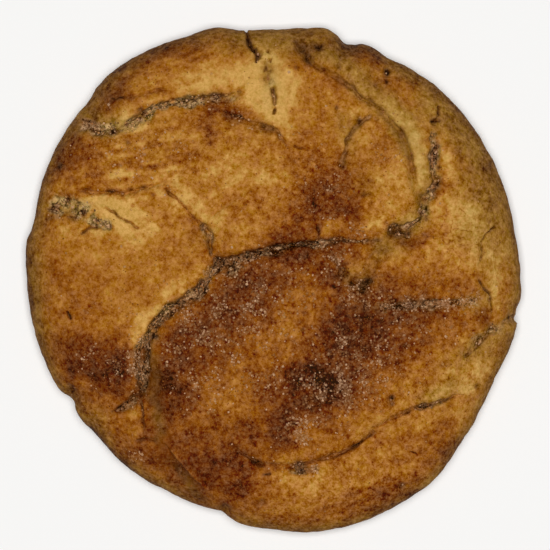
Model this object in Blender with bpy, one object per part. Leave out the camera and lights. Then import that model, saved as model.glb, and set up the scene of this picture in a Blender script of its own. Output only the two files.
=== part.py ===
"""A snickerdoodle: one puffed, cracked biscuit, flat underneath.

Plan sizes are in millimetres, seen from above with +Y away from the viewer, and the
model is built in metres with +Z up. The origin is the middle of the flat underside.
The top is a height worked out for every point: a crown with a rolled rim, broad
swells, and folds and cracks that each follow a smooth line.
"""

import math

import bmesh
import bpy
import numpy as np
from mathutils import Vector
from mathutils.geometry import delaunay_2d_cdt

MM = 0.001

# The whole biscuit
SHOULDER = 11.2  # height where the top begins to roll over the rim
CROWN = 3.0  # how much higher the middle stands than the shoulder
EQUATOR = 4.9  # height of the widest point
ROLL = 9.0  # how far in from the outline the roll-over reaches
TUCK = 3.2  # how far the edge tucks in under the widest point
LIPS_REACH = 9.0  # how far a fold's raised lip fades back from its line
LIPS_RISE = 1.4  # how soon a lip rises beside its line
RIM_NOTCH = 0.8  # the deepest that a crack cuts into the outline

# The outline: degrees anticlockwise from +X, and the radius there
OUTLINE_CENTRE = (0.2, 1.0)
OUTLINE = (
    (0, 45.3), (8, 45.0), (24, 45.3), (58, 45.3), (62, 45.0), (69, 45.4), (71, 44.7),
    (73, 44.4), (75, 45.4), (77, 46.1), (83, 45.6), (91, 45.1), (98, 45.4), (102, 46.5),
    (110, 46.7), (120, 47.3), (128, 47.7), (133, 47.4), (136, 46.8), (144, 46.6),
    (153, 46.2), (160, 45.8), (169, 45.3), (172, 45.9), (178, 45.6), (190, 45.3),
    (200, 45.1), (209, 44.6), (212.5, 43.6), (214.5, 44.2), (221, 44.0), (232, 44.5),
    (250, 44.6), (259, 45.3), (261, 46.0), (270, 47.0), (277, 47.9), (288, 48.4),
    (300, 48.2), (307, 48.1), (316, 46.7), (326, 45.5), (335, 44.9), (346, 45.6),
    (350, 45.5), (352, 45.0), (354, 45.4),
)

# Broad swells: centre x, y, half length, half width, turn in degrees, height
SWELLS = (
    (5, -13, 27, 17, 22, 1.5),  # the oval plate across the lower middle
    (-33, -1, 10, 15, -10, 0.9),  # the left plate
    (-25, 24, 13, 7, 18, 0.8),
    (-20, 39, 17, 5, 14, 0.5),
    (-3, 17, 11, 11, 0, 1.1),
    (20, 22, 6, 10, 20, 0.8),
    (37, 16, 8, 16, 12, 0.7),
    (31, 3, 9, 6, 5, 0.7),
    (0, 36, 4, 6, 0, 0.4),
    (30, -29, 12, 7, 40, 0.5),
    (-20, -31, 9, 8, -40, 0.4),
    (2, -39, 12, 4, 2, 0.5),
)

# Folds and cracks: name, depth, half width, rise of the lip on the left of the line's
# direction, rise on its right, taper at the start and at the end, and the line itself
FOLDS = (
    ("main", 3.0, 1.1, 1.1, -0.5, 2, 9,
     ((-24.3, -21.5), (-24.3, -16.5), (-24.0, -12.0), (-22.5, -8.5), (-20.3, -6.0),
      (-17.0, -3.6), (-13.8, -1.2), (-11.4, 1.8), (-9.0, 3.9), (-5.0, 4.9), (0, 6.1),
      (5.0, 7.0), (8.3, 7.1), (14.0, 8.0))),
    ("main spur", 1.2, 0.6, 0.1, 0.1, 1, 2, ((8.3, 7.0), (8.3, 8.8), (8.0, 10.3))),
    ("main left branch", 1.4, 0.9, 0.1, 0.3, 1, 3,
     ((-24.6, -20.8), (-26.5, -22.3), (-30.0, -24.0))),
    ("main lower branch", 1.2, 0.6, 0.2, 0.0, 1, 3,
     ((-24.2, -21.3), (-23.0, -24.5), (-23.2, -27.5))),
    ("soft valley", 1.5, 3.2, 0.0, 0.0, 5, 7,
     ((-22.0, -15.0), (-21.3, -21.0), (-20.5, -27.0), (-17.5, -32.0))),
    ("low ridge", -0.6, 0.7, 0.0, 0.0, 3, 3,
     ((-18.0, -33.0), (-14.5, -36.5), (-10.5, -40.0))),
    ("low slit", 0.7, 0.4, 0.1, 0.0, 1, 1,
     ((-25.3, -29.7), (-23.4, -28.9), (-21.0, -29.3))),
    ("inner riser", 1.8, 0.8, 0.0, 0.8, 1, 5,
     ((-11.0, 4.0), (-11.3, 7.5), (-12.4, 10.0), (-14.8, 11.9), (-17.3, 14.7),
      (-19.6, 16.4))),
    ("left crumbly crack", 2.0, 1.4, 0.3, 0.3, 2, 5,
     ((-43.5, 12.6), (-41.0, 13.0), (-38.0, 13.3), (-34.5, 12.2), (-31.8, 10.7),
      (-29.2, 9.6))),
    ("left hairline", 0.5, 0.4, 0.0, 0.0, 1, 1,
     ((-34.8, 8.3), (-33.8, 9.0), (-32.3, 9.4))),
    ("left slit", 1.0, 0.5, 0.2, 0.2, 1, 3,
     ((-30.7, 13.1), (-28.2, 11.4), (-24.1, 9.1))),
    ("flap edge", 1.0, 0.6, -0.2, 0.6, 3, 3,
     ((-36.0, 16.2), (-31.0, 16.0), (-27.3, 15.8), (-23.2, 16.7), (-19.0, 18.3))),
    ("upper left fold", 2.2, 0.9, 0.9, -0.4, 4, 3,
     ((-37.5, 29.2), (-32.7, 28.2), (-29.3, 27.2), (-25.6, 29.2), (-22.0, 31.8),
      (-18.6, 32.7), (-12.7, 33.7), (-8.3, 33.8), (-5.0, 34.7))),
    ("upper left hairline", 0.6, 0.5, 0.2, 0.0, 2, 2,
     ((-30.0, 33.5), (-25.0, 34.0), (-21.3, 35.0), (-19.0, 35.3))),
    ("upper diagonal", 1.0, 0.8, 0.3, 0.0, 2, 2,
     ((-10.5, 32.3), (-7.0, 30.5), (-3.4, 28.6), (-0.3, 27.9), (1.6, 27.6))),
    ("upper drop", 0.9, 0.5, 0.0, 0.1, 1, 1, ((1.6, 27.8), (1.6, 26.2), (2.2, 24.6))),
    ("upper dash", 0.8, 0.5, 0.0, 0.0, 1, 1, ((3.6, 24.4), (5.6, 23.7))),
    ("top slit left", 1.1, 0.45, 0.0, 0.1, 1, 1,
     ((-4.8, 45.6), (-4.6, 44.0), (-4.6, 42.6))),
    ("top slit middle", 1.1, 0.45, 0.1, 0.0, 1, 1,
     ((-2.7, 41.9), (-2.8, 40.8), (-3.2, 39.7))),
    ("top slit low", 1.2, 0.5, 0.1, 0.1, 1, 1, ((-0.1, 34.2), (0.2, 32.3))),
    ("top slit lowest", 1.0, 0.45, 0.1, 0.1, 1, 1, ((0.4, 31.7), (0.3, 30.0))),
    ("right arch", 1.6, 1.3, 0.9, 0.0, 3, 5,
     ((6.0, 41.0), (8.5, 38.7), (12.3, 37.0), (15.8, 33.9), (20.3, 30.8), (23.2, 27.6),
      (24.9, 23.3), (25.9, 19.0), (25.7, 16.0))),
    ("right arch inner", 1.0, 0.6, 0.1, 0.2, 1, 2,
     ((16.9, 30.3), (14.5, 28.6), (13.3, 25.7), (12.7, 22.0), (12.3, 20.5))),
    ("right crease top", 1.0, 0.6, 0.2, 0.0, 1, 1,
     ((30.5, 32.3), (30.2, 29.9), (28.6, 29.0))),
    ("right crease", 2.2, 0.9, 0.2, 0.5, 2, 2,
     ((28.6, 27.0), (29.8, 24.3), (28.5, 21.6), (29.6, 18.4), (27.3, 15.8),
      (26.8, 12.5), (25.0, 10.8), (22.5, 9.7), (20.9, 8.6), (20.9, 7.0))),
    ("right tail", 0.8, 1.0, 0.0, 0.0, 2, 3,
     ((20.6, 7.4), (19.0, 4.5), (17.5, 0.5), (15.0, -2.0))),
    ("right shallow crease", 1.4, 0.9, 0.3, 0.2, 3, 3,
     ((18.5, -5.1), (24.0, -4.7), (28.0, -4.2), (34.0, -4.1), (38.5, -2.6))),
    ("right hairline", 0.6, 0.45, 0.0, 0.1, 1, 1,
     ((39.1, -1.8), (39.8, -4.5), (40.1, -6.5))),
    ("right upper hairline", 0.6, 0.5, 0.1, 0.0, 1, 2,
     ((40.9, 9.6), (39.1, 8.7), (38.1, 6.8), (37.6, 3.1))),
    ("right edge fold", 1.3, 0.8, 0.4, 0.0, 1, 5,
     ((45.5, -6.3), (41.3, -8.0), (38.3, -10.2), (36.0, -12.4), (32.0, -15.3))),
    ("lower fold", 2.4, 0.9, 1.0, -0.5, 5, 6,
     ((-9.5, -27.0), (-7.2, -30.0), (-4.9, -32.5), (-2.3, -33.6), (3.5, -34.0),
      (10.0, -32.4), (15.5, -30.1), (20.0, -26.8), (25.3, -24.2), (30.0, -22.6),
      (35.5, -20.9))),
    ("lower slit", 0.8, 0.5, 0.1, 0.0, 0.6, 0.6, ((-2.2, -35.4), (-0.2, -35.2))),
    ("lower right slit", 0.7, 0.5, 0.0, 0.0, 0.5, 0.5, ((24.9, -31.2), (26.4, -31.8))),
    ("left side slit", 0.7, 0.5, 0.0, 0.0, 1, 1, ((-37.4, -5.5), (-36.6, -7.4))),
)

# Pits: x, y, radius, depth
PITS = (
    (23.0, 9.0, 1.5, 1.5), (-10.0, 3.4, 1.3, 0.7), (-24.4, -21.0, 1.2, 0.8),
    (5.4, 42.2, 1.0, 1.0), (6.4, 40.3, 0.8, 0.9), (8.4, 42.6, 1.0, 1.0),
    (-0.8, 38.6, 0.9, 0.7), (-1.1, 36.0, 0.8, 0.6), (21.1, 38.1, 0.8, 0.7),
    (21.6, -21.9, 0.8, 0.7), (-8.9, -42.1, 0.9, 0.9), (23.7, -37.8, 0.7, 0.6),
    (-37.0, -20.0, 1.1, 0.8), (29.6, 18.2, 1.0, 0.6), (5.4, -34.7, 1.4, 0.8),
    (16.0, -0.6, 1.6, 0.6), (-2.0, -40.6, 0.7, 0.6), (37.5, -19.5, 0.6, 0.5),
)

# Unevenness between the folds: a sum of plane waves in seeded directions
WAVES = 14
WAVE_SEED = 7
WAVE_LENGTHS = (5.0, 16.0)
WAVE_HEIGHT = 0.28

# The mesh
RIM_POINTS = 150
UPPER_RIM_DEGREES = (0, 20, 40, 58)  # around the roll-over, from the widest point up
LOWER_RIM_DEGREES = (25, 50, 72, 90)  # from just under the widest point to the base
CREASE_STEP = 1.15  # spacing of points along a fold's line
CREASE_GAP = 0.85  # the closest that they come to each other
SHOULDER_LINE = 1.1  # from the points on a valley's side out to those on its edge
LATTICE_STEP = 1.85
LATTICE_GAP = 1.25

# Browned crust
CRUST_COLOUR = (0.33, 0.155, 0.05, 1.0)
CRUST_ROUGHNESS = 0.8


def smooth_values(keys, values, at, period):
    """Reads a closed curve through (key, value) pairs, with a slope at each key set by
    its neighbours, at the keys in `at`."""
    keys = np.concatenate([[keys[-1] - period], keys, [keys[0] + period, keys[1] + period]])
    values = np.concatenate([[values[-1]], values, [values[0], values[1]]])
    slopes = np.gradient(values, keys)
    at = np.mod(at, period)
    i = np.clip(np.searchsorted(keys, at, side="right") - 1, 0, len(keys) - 2)
    span = keys[i + 1] - keys[i]
    t = (at - keys[i]) / span
    start = (1 + 2 * t) * (1 - t) ** 2 * values[i] + t * (1 - t) ** 2 * span * slopes[i]
    end = t * t * (3 - 2 * t) * values[i + 1] + t * t * (t - 1) * span * slopes[i + 1]
    return start + end


def outline_radius(angle):
    """The outline's radius about OUTLINE_CENTRE at each angle in radians."""
    keys, values = np.array(OUTLINE, float).T
    return smooth_values(keys, values, np.degrees(angle), 360.0)


def smooth_line(points, spacing):
    """Points every `spacing` along a Catmull-Rom curve through the given points."""
    p = np.array(points, float)
    p = np.vstack([2 * p[0] - p[1], p, 2 * p[-1] - p[-2]])
    t = np.linspace(0, 1, 24, endpoint=False)[:, None]
    runs = []
    for a, b, c, d in zip(p[:-3], p[1:-2], p[2:-1], p[3:]):
        bend = (2 * a - 5 * b + 4 * c - d) * t**2 + (3 * b - a - 3 * c + d) * t**3
        runs.append(0.5 * (2 * b + (c - a) * t + bend))
    curve = np.vstack(runs + [p[-2:-1]])
    along = np.concatenate([[0], np.cumsum(np.linalg.norm(np.diff(curve, axis=0), axis=1))])
    stops = np.linspace(0, along[-1], max(2, round(along[-1] / spacing) + 1))
    return np.stack([np.interp(stops, along, curve[:, k]) for k in (0, 1)], axis=1)


def beside(line, x, y):
    """For each point, its distance to the line, positive on the left of the line's
    direction, and how far along the line its nearest point is."""
    start, step = line[:-1], np.diff(line, axis=0)
    length = np.linalg.norm(step, axis=1)
    dx = x[:, None] - start[:, 0]
    dy = y[:, None] - start[:, 1]
    t = np.clip((dx * step[:, 0] + dy * step[:, 1]) / length**2, 0, 1)
    away = np.hypot(dx - t * step[:, 0], dy - t * step[:, 1])
    near = away.argmin(axis=1)
    rows = np.arange(len(x))
    side = np.sign(step[near, 0] * dy[rows, near] - step[near, 1] * dx[rows, near])
    ends = np.concatenate([[0], np.cumsum(length)])
    return away[rows, near] * side, ends[near] + t[rows, near] * length[near], ends[-1]


def ease(t):
    """A step from 0 to 1 with a soft start and end."""
    t = np.clip(t, 0, 1)
    return t * t * (3 - 2 * t)


def fold_relief(fold, x, y):
    """The height that one fold adds: a valley on its line and a lip on either side."""
    _, depth, width, left, right, taper_in, taper_out, points = fold
    off, along, whole = beside(smooth_line(points, 0.6), x, y)
    strength = ease(along / taper_in) * ease((whole - along) / taper_out)
    away = np.abs(off)
    valley = -depth * np.exp(-((away / width) ** 1.6))
    lip = np.where(off > 0, left, right)
    lip = lip * (1 - np.exp(-away / LIPS_RISE)) * np.exp(-away / LIPS_REACH)
    return strength * (valley + lip)


def crack_relief(x, y):
    """The height that all folds and pits add together, in millimetres."""
    rise = sum(fold_relief(fold, x, y) for fold in FOLDS)
    for cx, cy, radius, depth in PITS:
        rise -= depth * np.exp(-(((x - cx) ** 2 + (y - cy) ** 2) / radius**2))
    return rise


def relief(x, y):
    """Everything that stands above or below the plain crown, in millimetres."""
    rise = crack_relief(x, y)
    for cx, cy, long, wide, turn, height in SWELLS:
        c, s = math.cos(math.radians(turn)), math.sin(math.radians(turn))
        u = ((x - cx) * c + (y - cy) * s) / long
        v = ((y - cy) * c - (x - cx) * s) / wide
        rise += height * np.exp(-((u * u + v * v) ** 1.5))
    draw = np.random.RandomState(WAVE_SEED)
    for _ in range(WAVES):
        length, turn, phase = draw.uniform(*WAVE_LENGTHS), *draw.uniform(0, math.tau, 2)
        across = x * math.cos(turn) + y * math.sin(turn)
        rise += WAVE_HEIGHT / math.sqrt(WAVES) * np.sin(math.tau * across / length + phase)
    return rise


def rim_ring(upper_degrees=0.0, lower_degrees=0.0):
    """One closed ring of the rim, turned up or down from the widest point."""
    angle = np.arange(RIM_POINTS) * math.tau / RIM_POINTS
    up, down = math.radians(upper_degrees), math.radians(lower_degrees)
    radius = outline_radius(angle)
    inset = ROLL * (1 - math.cos(up)) + TUCK * (1 - math.cos(down))
    x = OUTLINE_CENTRE[0] + (radius - inset) * np.cos(angle)
    y = OUTLINE_CENTRE[1] + (radius - inset) * np.sin(angle)
    if lower_degrees:
        z = np.full(RIM_POINTS, EQUATOR * (1 - math.sin(down)))
    else:
        z = crown_height(x, y)
    out = crack_relief(x, y).clip(-RIM_NOTCH, 0) * math.cos(up) * math.cos(down)
    z = z + relief(x, y) * math.sin(up)
    return np.stack([x + out * np.cos(angle), y + out * np.sin(angle), z], axis=1)


def crown_height(x, y):
    """The plain crown: a quarter ellipse over the rim, then a gentle dome."""
    dx, dy = x - OUTLINE_CENTRE[0], y - OUTLINE_CENTRE[1]
    edge = outline_radius(np.arctan2(dy, dx))
    inset = edge - np.hypot(dx, dy)
    over = (1 - inset / ROLL).clip(0, 1)
    rolled = EQUATOR + (SHOULDER - EQUATOR) * np.sqrt(1 - over**2)
    return rolled + CROWN * (1 - np.hypot(dx, dy) / edge).clip(0, 1) ** 0.8 * ease(inset / ROLL)


def add_spaced(taken, candidates, gap):
    """Adds the candidates that keep `gap` from every point taken so far."""
    for point in candidates:
        if np.hypot(*(taken - point).T).min() > gap:
            taken = np.vstack([taken, point])
    return taken


def top_points(ring):
    """Plan points for the top inside a ring: dense along the folds, even elsewhere."""
    taken = ring[:, :2]
    for fold in sorted(FOLDS, key=lambda f: -f[1]):
        taken = add_spaced(taken, smooth_line(fold[-1], CREASE_STEP), CREASE_GAP)
    for fold in FOLDS:
        line = smooth_line(fold[-1], CREASE_STEP)
        way = np.gradient(line, axis=0)
        way /= np.linalg.norm(way, axis=1)[:, None]
        across = np.stack([-way[:, 1], way[:, 0]], axis=1)
        for offset in (max(fold[2], 0.9), max(fold[2], 0.9) + SHOULDER_LINE):
            taken = add_spaced(taken, line + across * offset, CREASE_GAP)
            taken = add_spaced(taken, line - across * offset, CREASE_GAP)
    for cx, cy, radius, _ in PITS:
        turns = np.arange(6) * math.tau / 6
        circle = np.stack([cx + radius * np.cos(turns), cy + radius * np.sin(turns)], axis=1)
        taken = add_spaced(taken, np.vstack([[(cx, cy)], circle]), CREASE_GAP)
    rows = np.arange(-48, 48, LATTICE_STEP * math.sqrt(0.75))
    columns = np.arange(-48, 48, LATTICE_STEP)
    for i, y in enumerate(rows):
        x = columns + (i % 2) * LATTICE_STEP / 2
        taken = add_spaced(taken, np.stack([x, np.full(len(x), y)], axis=1), LATTICE_GAP)
    dx, dy = (taken - OUTLINE_CENTRE).T
    reach = np.hypot(*(ring[:, :2] - OUTLINE_CENTRE).T)
    turn = np.mod(np.arctan2(dy, dx), math.tau) * RIM_POINTS / math.tau
    edge = np.interp(turn, np.arange(RIM_POINTS + 1), np.append(reach, reach[0]))
    inside = np.hypot(dx, dy) < edge - CREASE_GAP
    return taken[RIM_POINTS:][inside[RIM_POINTS:]]


def build_cookie():
    """The biscuit as one closed solid."""
    upper = [rim_ring(upper_degrees=a) for a in UPPER_RIM_DEGREES]
    lower = [rim_ring(lower_degrees=a) for a in LOWER_RIM_DEGREES]
    widest = upper[0][:, :2]
    shift = (widest.min(axis=0) + widest.max(axis=0)) / 2
    bm = bmesh.new()

    def place(points):
        """Adds vertices at millimetre points, with the outline's middle on the origin."""
        return [bm.verts.new((Vector(p) - Vector((*shift, 0))) * MM) for p in points]

    rings = [place(ring) for ring in lower[::-1] + upper]
    for below, above in zip(rings, rings[1:]):
        for i in range(RIM_POINTS):
            j = (i + 1) % RIM_POINTS
            bm.faces.new((below[i], below[j], above[j], above[i]))
    bm.faces.new(rings[0][::-1])

    inner = top_points(upper[-1])
    heights = crown_height(*inner.T) + relief(*inner.T)
    top = rings[-1] + place(np.column_stack([inner, heights]))
    plan = [Vector(p) for p in upper[-1][:, :2]] + [Vector(p) for p in inner]
    edge = [(i, (i + 1) % RIM_POINTS) for i in range(RIM_POINTS)]
    triangles = delaunay_2d_cdt(plan, edge, [], 1, 1e-6)[2]
    for a, b, c in triangles:
        bm.faces.new((top[a], top[b], top[c]))

    bmesh.ops.recalc_face_normals(bm, faces=bm.faces)
    mesh = bpy.data.meshes.new("cookie")
    bm.to_mesh(mesh)
    bm.free()
    mesh.shade_smooth()
    cookie = bpy.data.objects.new("cookie", mesh)
    bpy.context.collection.objects.link(cookie)
    return cookie


def crust_material():
    """Browned, sugared crust."""
    material = bpy.data.materials.new("browned crust")
    material.use_nodes = True
    shader = material.node_tree.nodes["Principled BSDF"]
    shader.inputs["Base Color"].default_value = CRUST_COLOUR
    shader.inputs["Roughness"].default_value = CRUST_ROUGHNESS
    shader.inputs["Metallic"].default_value = 0.0
    return material


def clear_scene():
    """Removes whatever objects the scene holds."""
    for old in list(bpy.data.objects):
        bpy.data.objects.remove(old, do_unlink=True)


clear_scene()
build_cookie().data.materials.append(crust_material())
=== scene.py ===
"""Looks of a puffed snickerdoodle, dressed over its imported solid.

One closed crust replaces the solid. It has the solid's crown, rolled rim, swells and folds, with
ragged crack edges and a finer grain. Sugar crystals, crumbs and ground cinnamon lie on it as small
meshes. Plan sizes are in millimetres, seen from above with +Y away from the viewer, and meshes are
put down in metres.
"""

import logging
import math
from dataclasses import dataclass
from enum import Enum

import bmesh
import bpy
import numpy as np
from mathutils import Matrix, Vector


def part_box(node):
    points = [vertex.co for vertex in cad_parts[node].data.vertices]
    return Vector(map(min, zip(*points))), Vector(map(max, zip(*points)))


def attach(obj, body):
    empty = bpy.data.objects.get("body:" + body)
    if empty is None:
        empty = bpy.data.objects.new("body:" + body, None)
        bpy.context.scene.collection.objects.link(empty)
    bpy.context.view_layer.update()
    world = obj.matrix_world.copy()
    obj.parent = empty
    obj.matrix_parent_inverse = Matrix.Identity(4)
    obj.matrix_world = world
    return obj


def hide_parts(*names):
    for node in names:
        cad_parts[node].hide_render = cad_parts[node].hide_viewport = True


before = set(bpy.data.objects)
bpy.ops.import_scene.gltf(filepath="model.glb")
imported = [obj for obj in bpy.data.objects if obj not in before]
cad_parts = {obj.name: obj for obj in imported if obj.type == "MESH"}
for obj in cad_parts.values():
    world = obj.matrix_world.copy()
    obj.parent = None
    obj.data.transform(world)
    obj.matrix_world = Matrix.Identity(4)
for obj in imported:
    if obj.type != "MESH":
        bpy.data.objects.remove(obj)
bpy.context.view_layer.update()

MM = 0.001
QUARTER = math.pi / 2
NODE = "cookie"
BODY = "root"

# Millimetres between the points of a fold's line, and steps of its curve between two given points
LINE_SPACING = 0.6
CURVE_STEPS = 24

Colour = tuple[float, float, float, float]
Stops = tuple[tuple[float, Colour], ...]
log = logging.getLogger("cookie")


def ease(t: np.ndarray) -> np.ndarray:
    """A step from 0 to 1 with a soft start and end: 3 t squared less 2 t cubed."""
    t = np.clip(t, 0, 1)
    return t * t * (3 - 2 * t)


def linear(red: float, green: float, blue: float) -> Colour:
    """Turns a screen colour into linear light, by the usual line for dark parts and power above.

    Args:
        red: the red part, from 0 to 255.
        green: the green part.
        blue: the blue part.

    Returns:
        The three linear parts and full alpha.
    """
    parts = []
    for part in (red / 255, green / 255, blue / 255):
        parts.append(part / 12.92 if part <= 0.04045 else ((part + 0.055) / 1.055) ** 2.4)
    return (*parts, 1.0)


def turned(x: np.ndarray, y: np.ndarray, degrees: float) -> tuple[np.ndarray, np.ndarray]:
    """Lengths along a direction, x cos a + y sin a, and across it, y cos a - x sin a."""
    c, s = math.cos(math.radians(degrees)), math.sin(math.radians(degrees))
    return x * c + y * s, y * c - x * s


@dataclass(frozen=True)
class Lumps:
    """Smooth seeded noise in space, from about -1 to 1.

    Random numbers sit on a cubic lattice of the given size, which repeats after a period of
    cells, and are blended by eased weights between its corners. Each further octave has half the
    size and half the strength, and is moved on by a shift of cells.
    """

    size: float
    seed: int
    octaves: int = 1
    period: int = 61
    shift: float = 7.3

    def at(self, x: np.ndarray, y: np.ndarray, z: np.ndarray | float = 0.0) -> np.ndarray:
        """Reads the noise: the eight lattice numbers round a place, each times its weight.

        Args:
            x: places along X, in millimetres.
            y: places along Y.
            z: heights.

        Returns:
            One number for each place.
        """
        table = np.random.RandomState(self.seed).uniform(-1, 1, (self.period,) * 3)
        total = np.zeros(np.shape(x))
        for octave in range(self.octaves):
            lows, weights = [], []
            for axis in (x, y, z + np.zeros(np.shape(x))):
                place = axis / (self.size / 2**octave) + self.shift * octave
                low = np.floor(place).astype(int)
                lows.append(low)
                weights.append(ease(place - low))
            value = np.zeros(np.shape(x))
            for corner in range(8):
                picks, weight = [], 1.0
                for k in range(3):
                    up = corner >> k & 1
                    picks.append((lows[k] + up) % self.period)
                    weight = weight * (weights[k] if up else 1 - weights[k])
                value += weight * table[picks[0], picks[1], picks[2]]
            total += value / 2**octave
        return total


@dataclass(frozen=True)
class Varying:
    """A share that noise raises and lowers about its mean, kept between a low and a high."""

    mean: float
    strength: float
    noise: Lumps
    low: float
    high: float | None

    def at(self, x: np.ndarray, y: np.ndarray, z: np.ndarray | float = 0.0) -> np.ndarray:
        """The share at each place: the mean plus strength times the noise."""
        return (self.mean + self.strength * self.noise.at(x, y, z)).clip(self.low, self.high)


@dataclass(frozen=True)
class Push:
    """Noise that moves places about, so that the edges of soft ovals wander."""

    strength: float
    across: Lumps
    down: Lumps

    def moved(self, x: np.ndarray, y: np.ndarray) -> tuple[np.ndarray, np.ndarray]:
        """The places, each moved by one noise along X and by another along Y."""
        return x + self.strength * self.across.at(x, y), y + self.strength * self.down.at(x, y)


@dataclass(frozen=True)
class Patch:
    """A soft oval on the top: its middle, half length, half width, turn in degrees and amount."""

    x: float
    y: float
    long: float
    wide: float
    turn: float
    amount: float

    def at(self, x: np.ndarray, y: np.ndarray, edge: float = 1.0) -> np.ndarray:
        """The oval's amount, times exp of minus the squared reach to the power edge.

        Args:
            x: places along X, in millimetres.
            y: places along Y.
            edge: how sharp the oval's edge is.

        Returns:
            The amount at each place.
        """
        along, across = turned(x - self.x, y - self.y, self.turn)
        u, v = along / self.long, across / self.wide
        return self.amount * np.exp(-((u * u + v * v) ** edge))


Patches = tuple[Patch, ...]


def ovals(*rows: tuple[float, ...]) -> Patches:
    """Soft ovals, one from each row of x, y, half length, half width, turn and amount."""
    return tuple(Patch(*row) for row in rows)


def summed(patches: Patches, x: np.ndarray, y: np.ndarray, edge: float = 1.0) -> np.ndarray:
    """The sum of soft ovals at each place."""
    return sum(patch.at(x, y, edge) for patch in patches)


@dataclass(frozen=True)
class Fold:
    """A fold or crack: a smooth line with a valley on it and a lip on either side.

    left and right say how far the lips rise, seen along the line's direction. starts and ends
    are the lengths over which it deepens and fades. crumb says how grey and crumbly its floor
    is, brown how dark the floor is, mostly painted shade in the crease and with a
    minus a paler floor, and pale how much lighter the higher lip is. lean moves the valley off
    its line, to the right of the line's direction.
    """

    name: str
    depth: float
    width: float
    left: float
    right: float
    starts: float
    ends: float
    crumb: float
    brown: float
    pale: float
    points: tuple[tuple[float, float], ...]
    lean: float = 0.0

    def line(self) -> np.ndarray:
        """Points at an even spacing along a Catmull-Rom curve through the fold's own points.

        Returns:
            An array of plan points.
        """
        p = np.array(self.points, float)
        p = np.vstack([2 * p[0] - p[1], p, 2 * p[-1] - p[-2]])
        t = np.linspace(0, 1, CURVE_STEPS, endpoint=False)[:, None]
        runs = []
        for a, b, c, d in zip(p[:-3], p[1:-2], p[2:-1], p[3:]):
            bend = (2 * a - 5 * b + 4 * c - d) * t**2 + (3 * b - a - 3 * c + d) * t**3
            runs.append(0.5 * (2 * b + (c - a) * t + bend))
        curve = np.vstack(runs + [p[-2:-1]])
        steps = np.linalg.norm(np.diff(curve, axis=0), axis=1)
        along = np.concatenate([[0], np.cumsum(steps)])
        stops = np.linspace(0, along[-1], max(2, round(along[-1] / LINE_SPACING) + 1))
        return np.stack([np.interp(stops, along, curve[:, k]) for k in (0, 1)], axis=1)

    def nearest(self, x: np.ndarray, y: np.ndarray) -> tuple[np.ndarray, ...]:
        """Finds the point of the line that is closest to each place.

        Args:
            x: places along X, in millimetres.
            y: places along Y.

        Returns:
            The place's offset from that point in x and in y, its side of the line as 1 for left
            and -1 for right, and the fold's strength there, which eases in from the line's start
            and out to its end.
        """
        line = self.line()
        start, step = line[:-1], np.diff(line, axis=0)
        length = np.linalg.norm(step, axis=1)
        before = np.concatenate([[0], np.cumsum(length)])
        best = np.full(len(x), np.inf)
        off_x, off_y, side, along = (np.zeros(len(x)) for _ in range(4))
        for k in range(len(start)):
            dx, dy = x - start[k, 0], y - start[k, 1]
            t = np.clip((dx * step[k, 0] + dy * step[k, 1]) / length[k] ** 2, 0, 1)
            across, down = dx - t * step[k, 0], dy - t * step[k, 1]
            away = across * across + down * down
            near = away < best
            np.copyto(best, away, where=near)
            np.copyto(off_x, across, where=near)
            np.copyto(off_y, down, where=near)
            np.copyto(side, np.sign(step[k, 0] * dy - step[k, 1] * dx), where=near)
            np.copyto(along, before[k] + t * length[k], where=near)
        strength = ease(along / self.starts) * ease((before[-1] - along) / self.ends)
        return off_x, off_y, side, strength


@dataclass(frozen=True)
class Section:
    """How a fold runs across its line.

    A wall falls as exp of minus its reach, which is the distance over its width, to a power. The
    wall under the higher lip is steep and the other one is slow, and a fold with even lips has
    two even walls. Crumb fills the floor, a dark foot of painted shade lies on it, and a pale
    band runs along the higher lip, with its middle and half width in millimetres from the line.
    """

    steep_width: float = 0.6
    slow_width: float = 1.0
    even_width: float = 0.85
    steep_power: float = 2.4
    slow_power: float = 1.5
    even_power: float = 1.9
    crumb_share: float = 0.9
    crumb_power: float = 3.0
    foot_width: float = 1.1
    pale_middle: float = 1.6
    pale_width: float = 1.4


# The line that the upper right arch and the ridge beside it follow
ARCH = (
    (6.0, 41.0), (8.5, 38.9), (12.2, 37.2), (15.8, 33.9), (19.8, 31.0), (22.6, 28.0),
    (24.4, 25.2), (25.4, 21.6), (25.8, 18.6), (25.6, 16.0),
)
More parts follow.
